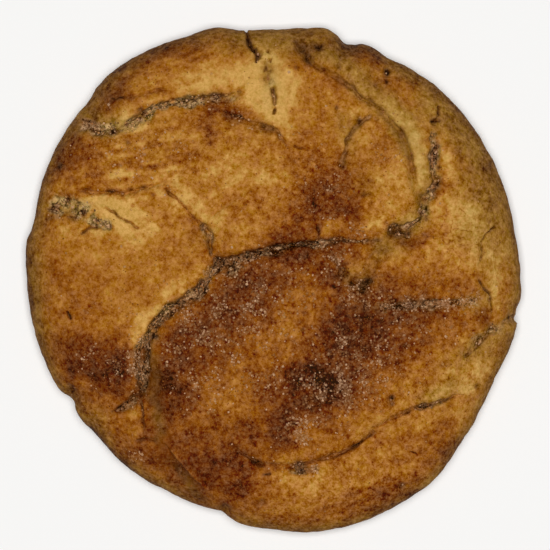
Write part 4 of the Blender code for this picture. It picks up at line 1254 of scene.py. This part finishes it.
@dataclass
class Scatter:
    """Many small grains of one kind, lying on the top of the crust.

    sizes are the least and the most that a grain measures, in millimetres, flat is the share of
    its thickness that is kept, and sunk the share of its size that lies under the skin. Sizes
    follow a beta spread, and stretch and jitter say how far grains differ from their solid.
    """

    name: str
    shape: GrainShape
    count: int
    sizes: tuple[float, float]
    flat: float
    sunk: float
    seed: int
    spread: tuple[float, float] = (2, 3)
    stretch: tuple[float, float] = (0.75, 1.25)
    jitter: float = 0.22

    def build(self, surface: Surface, triangles: np.ndarray, wish: np.ndarray) -> bpy.types.Object:
        """Drops the grains where they are wished for.

        Each grain lies on a triangle that is drawn with a chance of its area times the wish, is
        turned at random about all axes, stretched, and sunk a little into the crust.

        Args:
            surface: the crust's points, in metres.
            triangles: the faces that may carry grains.
            wish: how much each point wants them.

        Returns:
            One joined mesh.
        """
        draw = np.random.RandomState(self.seed)
        a, b, c = (surface.place[triangles[:, k]] for k in range(3))
        normal = np.cross(b - a, c - a)
        area = np.linalg.norm(normal, axis=1)
        normal /= area[:, None]
        chance = area * wish[triangles].mean(axis=1).clip(0, None)
        face = draw.choice(len(triangles), self.count, p=chance / chance.sum())
        u, v = draw.uniform(0, 1, (2, self.count))
        over = u + v > 1
        u, v = np.where(over, 1 - u, u)[:, None], np.where(over, 1 - v, v)[:, None]
        middle = a[face] + u * (b[face] - a[face]) + v * (c[face] - a[face])
        solid, sides = grain_solid(self.shape)
        low, high = self.sizes
        size = low + (high - low) * draw.beta(*self.spread, self.count)
        stretch = draw.uniform(*self.stretch, (self.count, 1, 3))
        jitter = 1 + draw.uniform(-self.jitter, self.jitter, (self.count, len(solid), 3))
        points = solid[None] * jitter * stretch * (size * MM)[:, None, None]
        quaternion = draw.normal(size=(self.count, 4))
        points = np.einsum("nij,nkj->nki", turning(quaternion), points)
        up = normal[face]
        depth = np.einsum("nkj,nj->nk", points, up)
        points -= (1 - self.flat) * depth[:, :, None] * up[:, None, :]
        lift = (0.5 - self.sunk) * size * MM * self.flat
        points += (middle + lift[:, None] * up)[:, None, :]
        faces = sides[None] + np.arange(self.count)[:, None, None] * len(solid)
        piece = put_down(self.name, points.reshape(-1, 3), faces.reshape(-1, 3))
        piece.data.shade_flat()
        below = surface.browning[triangles[face]].mean(axis=1)
        paint(piece, "browning", np.repeat(below, len(solid)))
        paint(piece, "tint", np.repeat(draw.uniform(0, 1, self.count), len(solid)))
        return piece


def turning(quaternion: np.ndarray) -> np.ndarray:
    """Rotation matrices from quaternions, by the usual products of their four numbers.

    Args:
        quaternion: rows of four numbers, which are scaled to unit length.

    Returns:
        One matrix of three by three for each row.
    """
    w, x, y, z = (quaternion / np.linalg.norm(quaternion, axis=1)[:, None]).T
    rows = (
        (1 - 2 * (y * y + z * z), 2 * (x * y - z * w), 2 * (x * z + y * w)),
        (2 * (x * y + z * w), 1 - 2 * (x * x + z * z), 2 * (y * z - x * w)),
        (2 * (x * z - y * w), 2 * (y * z + x * w), 1 - 2 * (x * x + y * y)),
    )
    return np.stack([np.stack(row, axis=-1) for row in rows], axis=-2)


class Value:
    """A number in a material, with arithmetic that adds Math nodes."""

    def __init__(self, graph: "Graph", socket: bpy.types.NodeSocket) -> None:
        """Keeps the socket and the graph that it belongs to."""
        self.graph = graph
        self.socket = socket

    def __add__(self, other: "Value | float") -> "Value":
        """The sum."""
        return self.graph.math("ADD", self, other)

    __radd__ = __add__

    def __sub__(self, other: "Value | float") -> "Value":
        """The difference."""
        return self.graph.math("SUBTRACT", self, other)

    def __rsub__(self, other: float) -> "Value":
        """The difference from a plain number."""
        return self.graph.math("SUBTRACT", other, self)

    def __mul__(self, other: "Value | float") -> "Value":
        """The product."""
        return self.graph.math("MULTIPLY", self, other)

    __rmul__ = __mul__


class Graph:
    """A material's nodes, from expressions. Sizes are in millimetres."""

    def __init__(self, name: str) -> None:
        """Starts a material with one Principled shader.

        Args:
            name: the material's name.
        """
        self.material = bpy.data.materials.new(name)
        self.material.use_nodes = True
        self.tree = self.material.node_tree
        self.shader = self.tree.nodes["Principled BSDF"]
        self.places = self.node("ShaderNodeTexCoord", {}, {}).outputs["Object"]

    def node(self, kind: str, settings: dict, sockets: dict) -> bpy.types.Node:
        """Adds a node.

        Args:
            kind: the node's type.
            settings: its properties, set first. "stops" holds a ramp's places and colours.
            sockets: values, sockets or Values for its inputs, by name or number.

        Returns:
            The node.
        """
        made = self.tree.nodes.new(kind)
        for name, setting in settings.items():
            if name == "stops":
                elements = made.color_ramp.elements
                while len(elements) < len(setting):
                    elements.new(0.5)
                for element, (place, colour) in zip(elements, setting):
                    element.position = place
                    element.color = colour
            else:
                setattr(made, name, setting)
        for name, given in sockets.items():
            self.feed(made.inputs[name], given)
        return made

    def feed(self, target: bpy.types.NodeSocket, given: object) -> None:
        """Links or sets one input.

        Args:
            target: the input.
            given: a Value or a socket, which is linked, or a plain value, which is set.
        """
        if isinstance(given, Value):
            given = given.socket
        if isinstance(given, bpy.types.NodeSocket):
            self.tree.links.new(given, target)
        else:
            target.default_value = given

    def math(self, operation: str, first: object, second: object = 0.0) -> Value:
        """A Math node's result."""
        made = self.node("ShaderNodeMath", {"operation": operation}, {0: first, 1: second})
        return Value(self, made.outputs[0])

    def noise(self, size: float, seed: float, detail: float = 2.0, rough: float = 0.6) -> Value:
        """Noise from about -0.5 to 0.5.

        Args:
            size: how large its lumps are.
            seed: which noise it is, as a place along the fourth axis.
            detail: how many finer octaves it has.
            rough: how strong each finer octave is, beside the one before.

        Returns:
            The noise.
        """
        sockets = {"Vector": self.places, "W": seed, "Scale": 1 / (size * MM)}
        sockets |= {"Detail": detail, "Roughness": rough}
        made = self.node("ShaderNodeTexNoise", {"noise_dimensions": "4D"}, sockets)
        return Value(self, made.outputs["Fac"]) - 0.5

    def painted(self, name: str) -> Value:
        """A number stored on the mesh's points."""
        made = self.node("ShaderNodeAttribute", {"attribute_name": name}, {})
        return Value(self, made.outputs["Fac"])

    def step(self, value: Value, low: float, high: float) -> Value:
        """A soft step.

        Args:
            value: what it follows.
            low: where it is 0.
            high: where it is 1, which may lie below low.

        Returns:
            The step.
        """
        sockets = {"Value": value, "From Min": low, "From Max": high}
        made = self.node("ShaderNodeMapRange", {"interpolation_type": "SMOOTHSTEP"}, sockets)
        return Value(self, made.outputs[0])

    def ramp(self, value: Value, stops: Stops) -> bpy.types.NodeSocket:
        """A colour read from a row of stops."""
        return self.node("ShaderNodeValToRGB", {"stops": stops}, {0: value}).outputs["Color"]

    def mix(self, share: Value, first: object, second: object) -> bpy.types.NodeSocket:
        """A colour part of the way from the first to the second."""
        made = self.node("ShaderNodeMix", {"data_type": "RGBA"}, {0: share, 6: first, 7: second})
        return made.outputs[2]

    def vector(self, operation: str, first: object, second: object) -> bpy.types.NodeSocket:
        """A Vector Math node's result."""
        made = self.node("ShaderNodeVectorMath", {"operation": operation}, {0: first, 1: second})
        return made.outputs[0]

    def walls(self, size: float, seed: float) -> Value:
        """Thin lines between random cells, 1 on a line and 0 off it.

        Args:
            size: how wide a cell is.
            seed: which noise bends the lines.

        Returns:
            The lines' strength.
        """
        sockets = {"Vector": self.places, "W": seed, "Scale": 0.6 / (size * MM), "Detail": 3.0}
        bend = self.node("ShaderNodeTexNoise", {"noise_dimensions": "4D"}, sockets)
        shift = self.vector("SUBTRACT", bend.outputs["Color"], (0.5, 0.5, 0.5))
        shift = self.vector("MULTIPLY", shift, (1.6 * size * MM,) * 3)
        sockets = {"Vector": self.vector("ADD", self.places, shift), "Scale": 1 / (size * MM)}
        cells = self.node("ShaderNodeTexVoronoi", {"feature": "DISTANCE_TO_EDGE"}, sockets)
        return self.step(Value(self, cells.outputs["Distance"]), 0.06, 0.0)

    def grains(self, size: float, shift: float) -> tuple[Value, Value]:
        """Random cells, like grains packed side by side.

        Args:
            size: how wide a cell is.
            shift: how far the cells are moved, so that two sets differ.

        Returns:
            The distance from the cell's middle, in cells, and one random number for each cell.
        """
        places = self.vector("ADD", self.places, (shift * MM,) * 3)
        sockets = {"Vector": places, "Scale": 1 / (size * MM)}
        cells = self.node("ShaderNodeTexVoronoi", {"feature": "F1"}, sockets)
        return Value(self, cells.outputs["Distance"]), Value(self, cells.outputs["Color"])

    def bump(self, height: Value, depth: float) -> bpy.types.NodeSocket:
        """A normal bent by a height, whose full range is the depth."""
        sockets = {"Height": height, "Distance": depth * MM, "Strength": 1.0}
        return self.node("ShaderNodeBump", {}, sockets).outputs["Normal"]

    def finish(self, **sockets: object) -> bpy.types.Material:
        """Feeds the shader.

        Args:
            **sockets: what its sockets get, named with underscores for spaces.

        Returns:
            The finished material.
        """
        for name, given in sockets.items():
            self.feed(self.shader.inputs[name.replace("_", " ")], given)
        return self.material


@dataclass(frozen=True)
class CrustFinish:
    """Baked dough from pale gold to dark caramel, dusted with cinnamon.

    warm and olive are the skin's ramps over its browning and painted shade. crumbs and
    pale_crumbs are those of torn crumb, in browned and shaded places and in pale ones, and their
    dark ends are the painted shade of the gaps between lumps. clot and speck are the widths of
    crumb lumps and of sugar specks, and bump the depth of the fine relief, in millimetres. glint
    is the sugar's colour, grey the tint of the fine speckle, and darkest what no colour goes below.
    """

    warm: Stops = (
        (0.0, linear(206, 158, 82)), (0.2, linear(180, 121, 47)), (0.4, linear(156, 94, 28)),
        (0.6, linear(129, 70, 14)), (0.8, linear(104, 50, 7)), (1.0, linear(76, 33, 3)),
    )
    olive: Stops = (
        (0.0, linear(196, 157, 86)), (0.2, linear(174, 130, 58)), (0.4, linear(151, 107, 42)),
        (0.6, linear(126, 83, 30)), (0.8, linear(101, 62, 22)), (1.0, linear(72, 43, 16)),
    )
    crumbs: Stops = (
        (0.0, linear(44, 21, 6)), (0.32, linear(97, 62, 34)), (0.6, linear(150, 109, 70)),
        (1.0, linear(216, 176, 134)),
    )
    pale_crumbs: Stops = (
        (0.0, linear(48, 30, 6)), (0.32, linear(104, 77, 35)), (0.6, linear(138, 109, 58)),
        (1.0, linear(196, 161, 100)),
    )
    glint: Colour = linear(178, 132, 90)
    grey: tuple[float, float, float] = (1.0, 0.58, 0.31)
    darkest: tuple[float, float, float] = (0.02, 0.006, 0.0)
    clot: float = 0.95
    speck: float = 0.42
    dusting: float = 0.42
    bump: float = 0.16
    roughness: float = 0.78
    specular: float = 0.05

    def skin(self, g: Graph, brown: Value) -> bpy.types.NodeSocket:
        """The skin's colour: browning with its painted shade, broken up by noise and fine cracks,
        drives two ramps.

        Args:
            g: the material's graph.
            brown: how browned each place is, with its painted shade.

        Returns:
            The colour.
        """
        blotches = 1.0 * g.noise(3.2, 1.0, 2.0, 0.85) + 0.4 * g.noise(0.9, 18.0, 1.0, 0.8)
        lines = g.walls(3.0, 20.0) * g.step(g.noise(2.0, 21.0), -0.12, 0.08)
        tone = brown + g.painted("mottle") * blotches + 0.3 * lines * g.painted("crackle")
        ashen = g.painted("ashen") + 0.4 * g.noise(3.0, 3.0)
        return g.mix(g.step(ashen, 0.05, 1.0), g.ramp(tone, self.warm), g.ramp(tone, self.olive))

    def crumb(self, g: Graph, brown: Value, lump: Value, chance: Value) -> bpy.types.NodeSocket:
        """Torn crumb: each lump has its own tone, darkened towards its border as painted shade in
        the gaps between lumps, and darker where it is browned and shaded.

        Args:
            g: the material's graph.
            brown: how browned each place is, with its painted shade.
            lump: the distance from the lump's middle.
            chance: the lump's own random number.

        Returns:
            The colour.
        """
        # Painted shade: each lump darkens towards its border, so that the gaps between lumps read
        # dark
        clot = 0.78 - 0.7 * lump + 0.65 * chance + 2.4 * g.noise(1.1, 6.0, 2.0, 0.75)
        clot = clot - 0.55 * brown
        pale, dark = g.ramp(clot, self.pale_crumbs), g.ramp(clot, self.crumbs)
        return g.mix(g.step(brown, 0.2, 0.5), pale, dark)

    def sugar(self, g: Graph) -> Value:
        """Where fine sugar covers the skin: specks, the more of them the more sugar is painted.

        Args:
            g: the material's graph.

        Returns:
            The cover, from 0 to 1.
        """
        speck, chance = g.grains(self.speck, 3.0)
        cover = 0.42 * g.painted("sugar") + 1.1 * g.noise(1.5, 19.0, 2.0, 0.7) - chance
        return g.step(cover, -0.05, 0.05) * g.step(speck + 0.8 * g.noise(0.3, 23.0), 0.6, 0.3)

    def speckle(self, g: Graph, brown: Value, torn: Value) -> Value:
        """Fine light and dark grain, weaker where it is browned and shaded, with dark spots and
        deep browns.

        Args:
            g: the material's graph.
            brown: how browned each place is, with its painted shade.
            torn: where the crumb shows.

        Returns:
            What is added to the colour, before its tint.
        """
        spots = 0.05 * g.step(g.noise(0.9, 2.0, 2.0, 0.8), 0.03, 0.2)
        fine = g.painted("grain") * (0.9 * g.noise(0.75, 4.0, 3.0, 0.9) - spots)
        fine = fine * (1.0 - 0.45 * brown) + torn * (0.3 * g.noise(0.6, 5.0, 2.0, 0.7))
        return fine - 0.05 * g.step(brown, 0.85, 1.25)

    def material(self) -> bpy.types.Material:
        """Skin, with crumb where it is torn, a dusting of sugar and a fine speckle.

        Returns:
            The crust's material.
        """
        g = Graph("crust")
        brown = g.painted("browning")
        torn = g.painted("crumb") + 0.5 * g.noise(0.6, 7.0) + 0.35 * g.noise(1.8, 22.0, 1.0)
        torn = g.step(torn, 0.05, 0.75)
        lump, chance = g.grains(self.clot, 0.5)
        colour = g.mix(torn, self.skin(g, brown), self.crumb(g, brown, lump, chance))
        colour = g.mix(self.dusting * self.sugar(g), colour, self.glint)
        grain = g.vector("MULTIPLY", self.speckle(g, brown, torn), self.grey)
        colour = g.vector("MAXIMUM", g.vector("ADD", colour, grain), self.darkest)
        height = g.noise(0.35, 8.0, 3.0) + 0.6 * g.noise(0.9, 9.0) - 0.8 * torn * lump
        return g.finish(
            Base_Color=colour,
            Roughness=self.roughness + 0.3 * g.noise(1.0, 10.0) - 0.1 * brown,
            Normal=g.bump(height, self.bump),
            Specular_IOR_Level=self.specular,
        )


@dataclass(frozen=True)
class SugarFinish:
    """Cloudy sugar crystals that take on the colour of what they lie on."""

    steps: Stops = (
        (0.0, linear(200, 152, 86)), (0.5, linear(156, 103, 54)), (1.0, linear(121, 79, 48)),
    )
    bright: Colour = linear(206, 164, 126)

    def material(self) -> bpy.types.Material:
        """Browning and painted shade from below tint them, and each crystal has its own
        brightness.

        Returns:
            The sugar's material.
        """
        g = Graph("sugar")
        body = g.ramp(g.painted("browning"), self.steps)
        tint = g.painted("tint")
        return g.finish(
            Base_Color=g.mix(g.step(tint, 0.55, 1.0) * 0.85, body, self.bright),
            Roughness=0.3 + 0.3 * tint,
            Normal=g.bump(g.noise(0.2, 11.0), 0.05),
            Specular_IOR_Level=0.16,
        )


@dataclass(frozen=True)
class CrumbFinish:
    """Torn crumb and clotted sugar in the cracks."""

    steps: Stops = (
        (0.0, linear(88, 60, 34)), (0.4, linear(116, 84, 50)), (0.75, linear(146, 112, 74)),
        (1.0, linear(184, 150, 112)),
    )

    def material(self) -> bpy.types.Material:
        """Each crumb has its own tone, mottled a little.

        Returns:
            The crumbs' material.
        """
        g = Graph("crumbs")
        tone = g.painted("tint") + 0.6 * g.noise(0.3, 12.0)
        return g.finish(
            Base_Color=g.ramp(tone, self.steps),
            Roughness=0.8 + 0.2 * g.noise(0.4, 13.0),
            Normal=g.bump(g.noise(0.15, 14.0), 0.06),
            Specular_IOR_Level=0.05,
        )


@dataclass(frozen=True)
class CinnamonFinish:
    """Ground cinnamon."""

    steps: Stops = ((0.0, linear(98, 48, 12)), (1.0, linear(150, 90, 34)))

    def material(self) -> bpy.types.Material:
        """Each flake has its own brown, mottled a little.

        Returns:
            The cinnamon's material.
        """
        g = Graph("cinnamon")
        tone = g.painted("tint") + 0.5 * g.noise(0.2, 15.0)
        return g.finish(
            Base_Color=g.ramp(tone, self.steps),
            Roughness=0.8 + 0.2 * g.noise(0.2, 16.0),
            Specular_IOR_Level=0.05,
        )


@dataclass(frozen=True)
class FloorFinish:
    """A pale matt table top."""

    colour: Colour = linear(252, 251, 249)
    paler: Colour = linear(254, 254, 253)

    def material(self) -> bpy.types.Material:
        """Near white, with a trace of unevenness.

        Returns:
            The floor's material.
        """
        g = Graph("floor")
        shade = g.mix(0.5 + 0.4 * g.noise(40.0, 17.0), self.colour, self.paler)
        return g.finish(Base_Color=shade, Roughness=0.9, Specular_IOR_Level=0.1)


@dataclass(frozen=True)
class Studio:
    """Pale floor, soft light from above and the photograph's camera.

    The photograph is 550 pixels wide and shows 101.2 mm at the height of the widest point, from
    straight above a point a little up and right of the biscuit's middle. The view is in
    millimetres, the lens and its sensor too, and the floor, the lamp and near are in metres.
    """

    view_width: float = 101.2
    view_middle: tuple[float, float] = (0.28, 0.92)
    lens: float = 200.0
    sensor: float = 36.0
    near: float = 0.01
    floor_half: float = 3.0
    lamp_watts: float = 9.4
    lamp_size: float = 0.45
    lamp_height: float = 1.0
    sky: float = 0.06

    def floor(self) -> bpy.types.Object:
        """A wide square under the biscuit.

        Returns:
            The floor, with its finish.
        """
        h = self.floor_half
        corners = np.array([(-h, -h, 0), (h, -h, 0), (h, h, 0), (-h, h, 0)])
        floor = put_down("floor", corners, np.array([(0, 1, 2), (0, 2, 3)]))
        floor.data.materials.append(FloorFinish().material())
        return floor

    def lights(self) -> None:
        """A large square light overhead, and an even pale sky."""
        light = bpy.data.lights.new("overhead", "AREA")
        light.shape = "SQUARE"
        light.size = self.lamp_size
        light.energy = self.lamp_watts
        lamp = bpy.data.objects.new("overhead", light)
        lamp.location = (0.0, 0.0, self.lamp_height)
        lamp.visible_camera = False
        bpy.context.collection.objects.link(lamp)
        world = bpy.data.worlds.new("sky")
        world.use_nodes = True
        background = world.node_tree.nodes["Background"]
        background.inputs["Color"].default_value = (1.0, 1.0, 1.0, 1.0)
        background.inputs["Strength"].default_value = self.sky
        bpy.context.scene.world = world
        bpy.context.scene.view_settings.view_transform = "Standard"

    def camera(self, height: float) -> None:
        """Looks straight down, so that what lies at a height has the photograph's scale.

        Args:
            height: that height, in millimetres.
        """
        data = bpy.data.cameras.new("camera")
        data.lens = self.lens
        data.sensor_width = self.sensor
        data.clip_start = self.near
        eye = bpy.data.objects.new("camera", data)
        distance = self.view_width * MM * self.lens / self.sensor
        eye.location = (self.view_middle[0] * MM, self.view_middle[1] * MM, height * MM + distance)
        bpy.context.collection.objects.link(eye)
        bpy.context.scene.camera = eye


@dataclass
class Snickerdoodle:
    """The dressed biscuit: crust, sugar, crumbs and cinnamon.

    Grains keep away from the rim, by a bare length and a fade in millimetres. Sugar lies in
    clumps, with a stray share all over and some more in the cracks. Crumbs lie where the crumb
    share passes a least.
    """

    crust: Crust
    sugar: Scatter
    crumbs: Scatter
    cinnamon: Scatter
    rim: tuple[float, float] = (1.5, 2.0)
    clumps: Varying = Varying(0.1, 1.6, Lumps(1.5, 61, 3), 0.04, None)
    stray: float = 0.001
    in_cracks: float = 0.05
    least_crumb: float = 0.25

    def wishes(self, surface: Surface) -> tuple[np.ndarray, np.ndarray, np.ndarray]:
        """How much each point of the crust wants the three kinds of grain.

        Args:
            surface: the crust's points, in metres.

        Returns:
            The wish for sugar, for crumbs and for cinnamon.
        """
        x, y, z = (surface.place / MM).T
        inner = self.crust.form.inner(x, y, *self.rim)
        sugar = surface.sugar.clip(0, None) ** 1.5 * self.clumps.at(x, y, z)
        sugar = sugar + self.in_cracks * surface.crumb * inner + self.stray * inner
        crumbs = (surface.crumb - self.least_crumb).clip(0, 1) * inner
        return sugar, crumbs, surface.browning.clip(0.1, 1) ** 1.5 * inner

    def build(self) -> list[bpy.types.Object]:
        """Builds and dresses every piece.

        Returns:
            The pieces.
        """
        skin, surface, top = self.crust.build()
        skin.data.materials.append(CrustFinish().material())
        pieces = [skin]
        kinds = (self.sugar, self.crumbs, self.cinnamon)
        finishes = (SugarFinish(), CrumbFinish(), CinnamonFinish())
        for scatter, wish, finish in zip(kinds, self.wishes(surface), finishes):
            grains = scatter.build(surface, top, wish)
            grains.data.materials.append(finish.material())
            pieces.append(grains)
        for piece in pieces:
            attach(piece, BODY)
        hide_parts(NODE)
        return pieces


def main() -> None:
    """Builds the biscuit and the studio."""
    logging.basicConfig(level=logging.INFO, format="%(message)s")
    form = CookieForm()
    cookie = Snickerdoodle(
        crust=Crust(form),
        sugar=Scatter("sugar", GrainShape.CRYSTAL, 4200, (0.14, 0.4), 0.8, sunk=0.35, seed=51),
        crumbs=Scatter("crumbs", GrainShape.CRUMB, 800, (0.25, 0.6), 0.6, sunk=0.75, seed=52),
        cinnamon=Scatter("cinnamon", GrainShape.FLAKE, 4500, (0.14, 0.36), 0.6, sunk=0.2, seed=53),
    )
    for piece in cookie.build():
        log.info("%s: %d triangles", piece.name, len(piece.data.polygons))
    studio = Studio()
    studio.floor()
    studio.lights()
    studio.camera(form.equator)


if __name__ == "__main__":
    main()
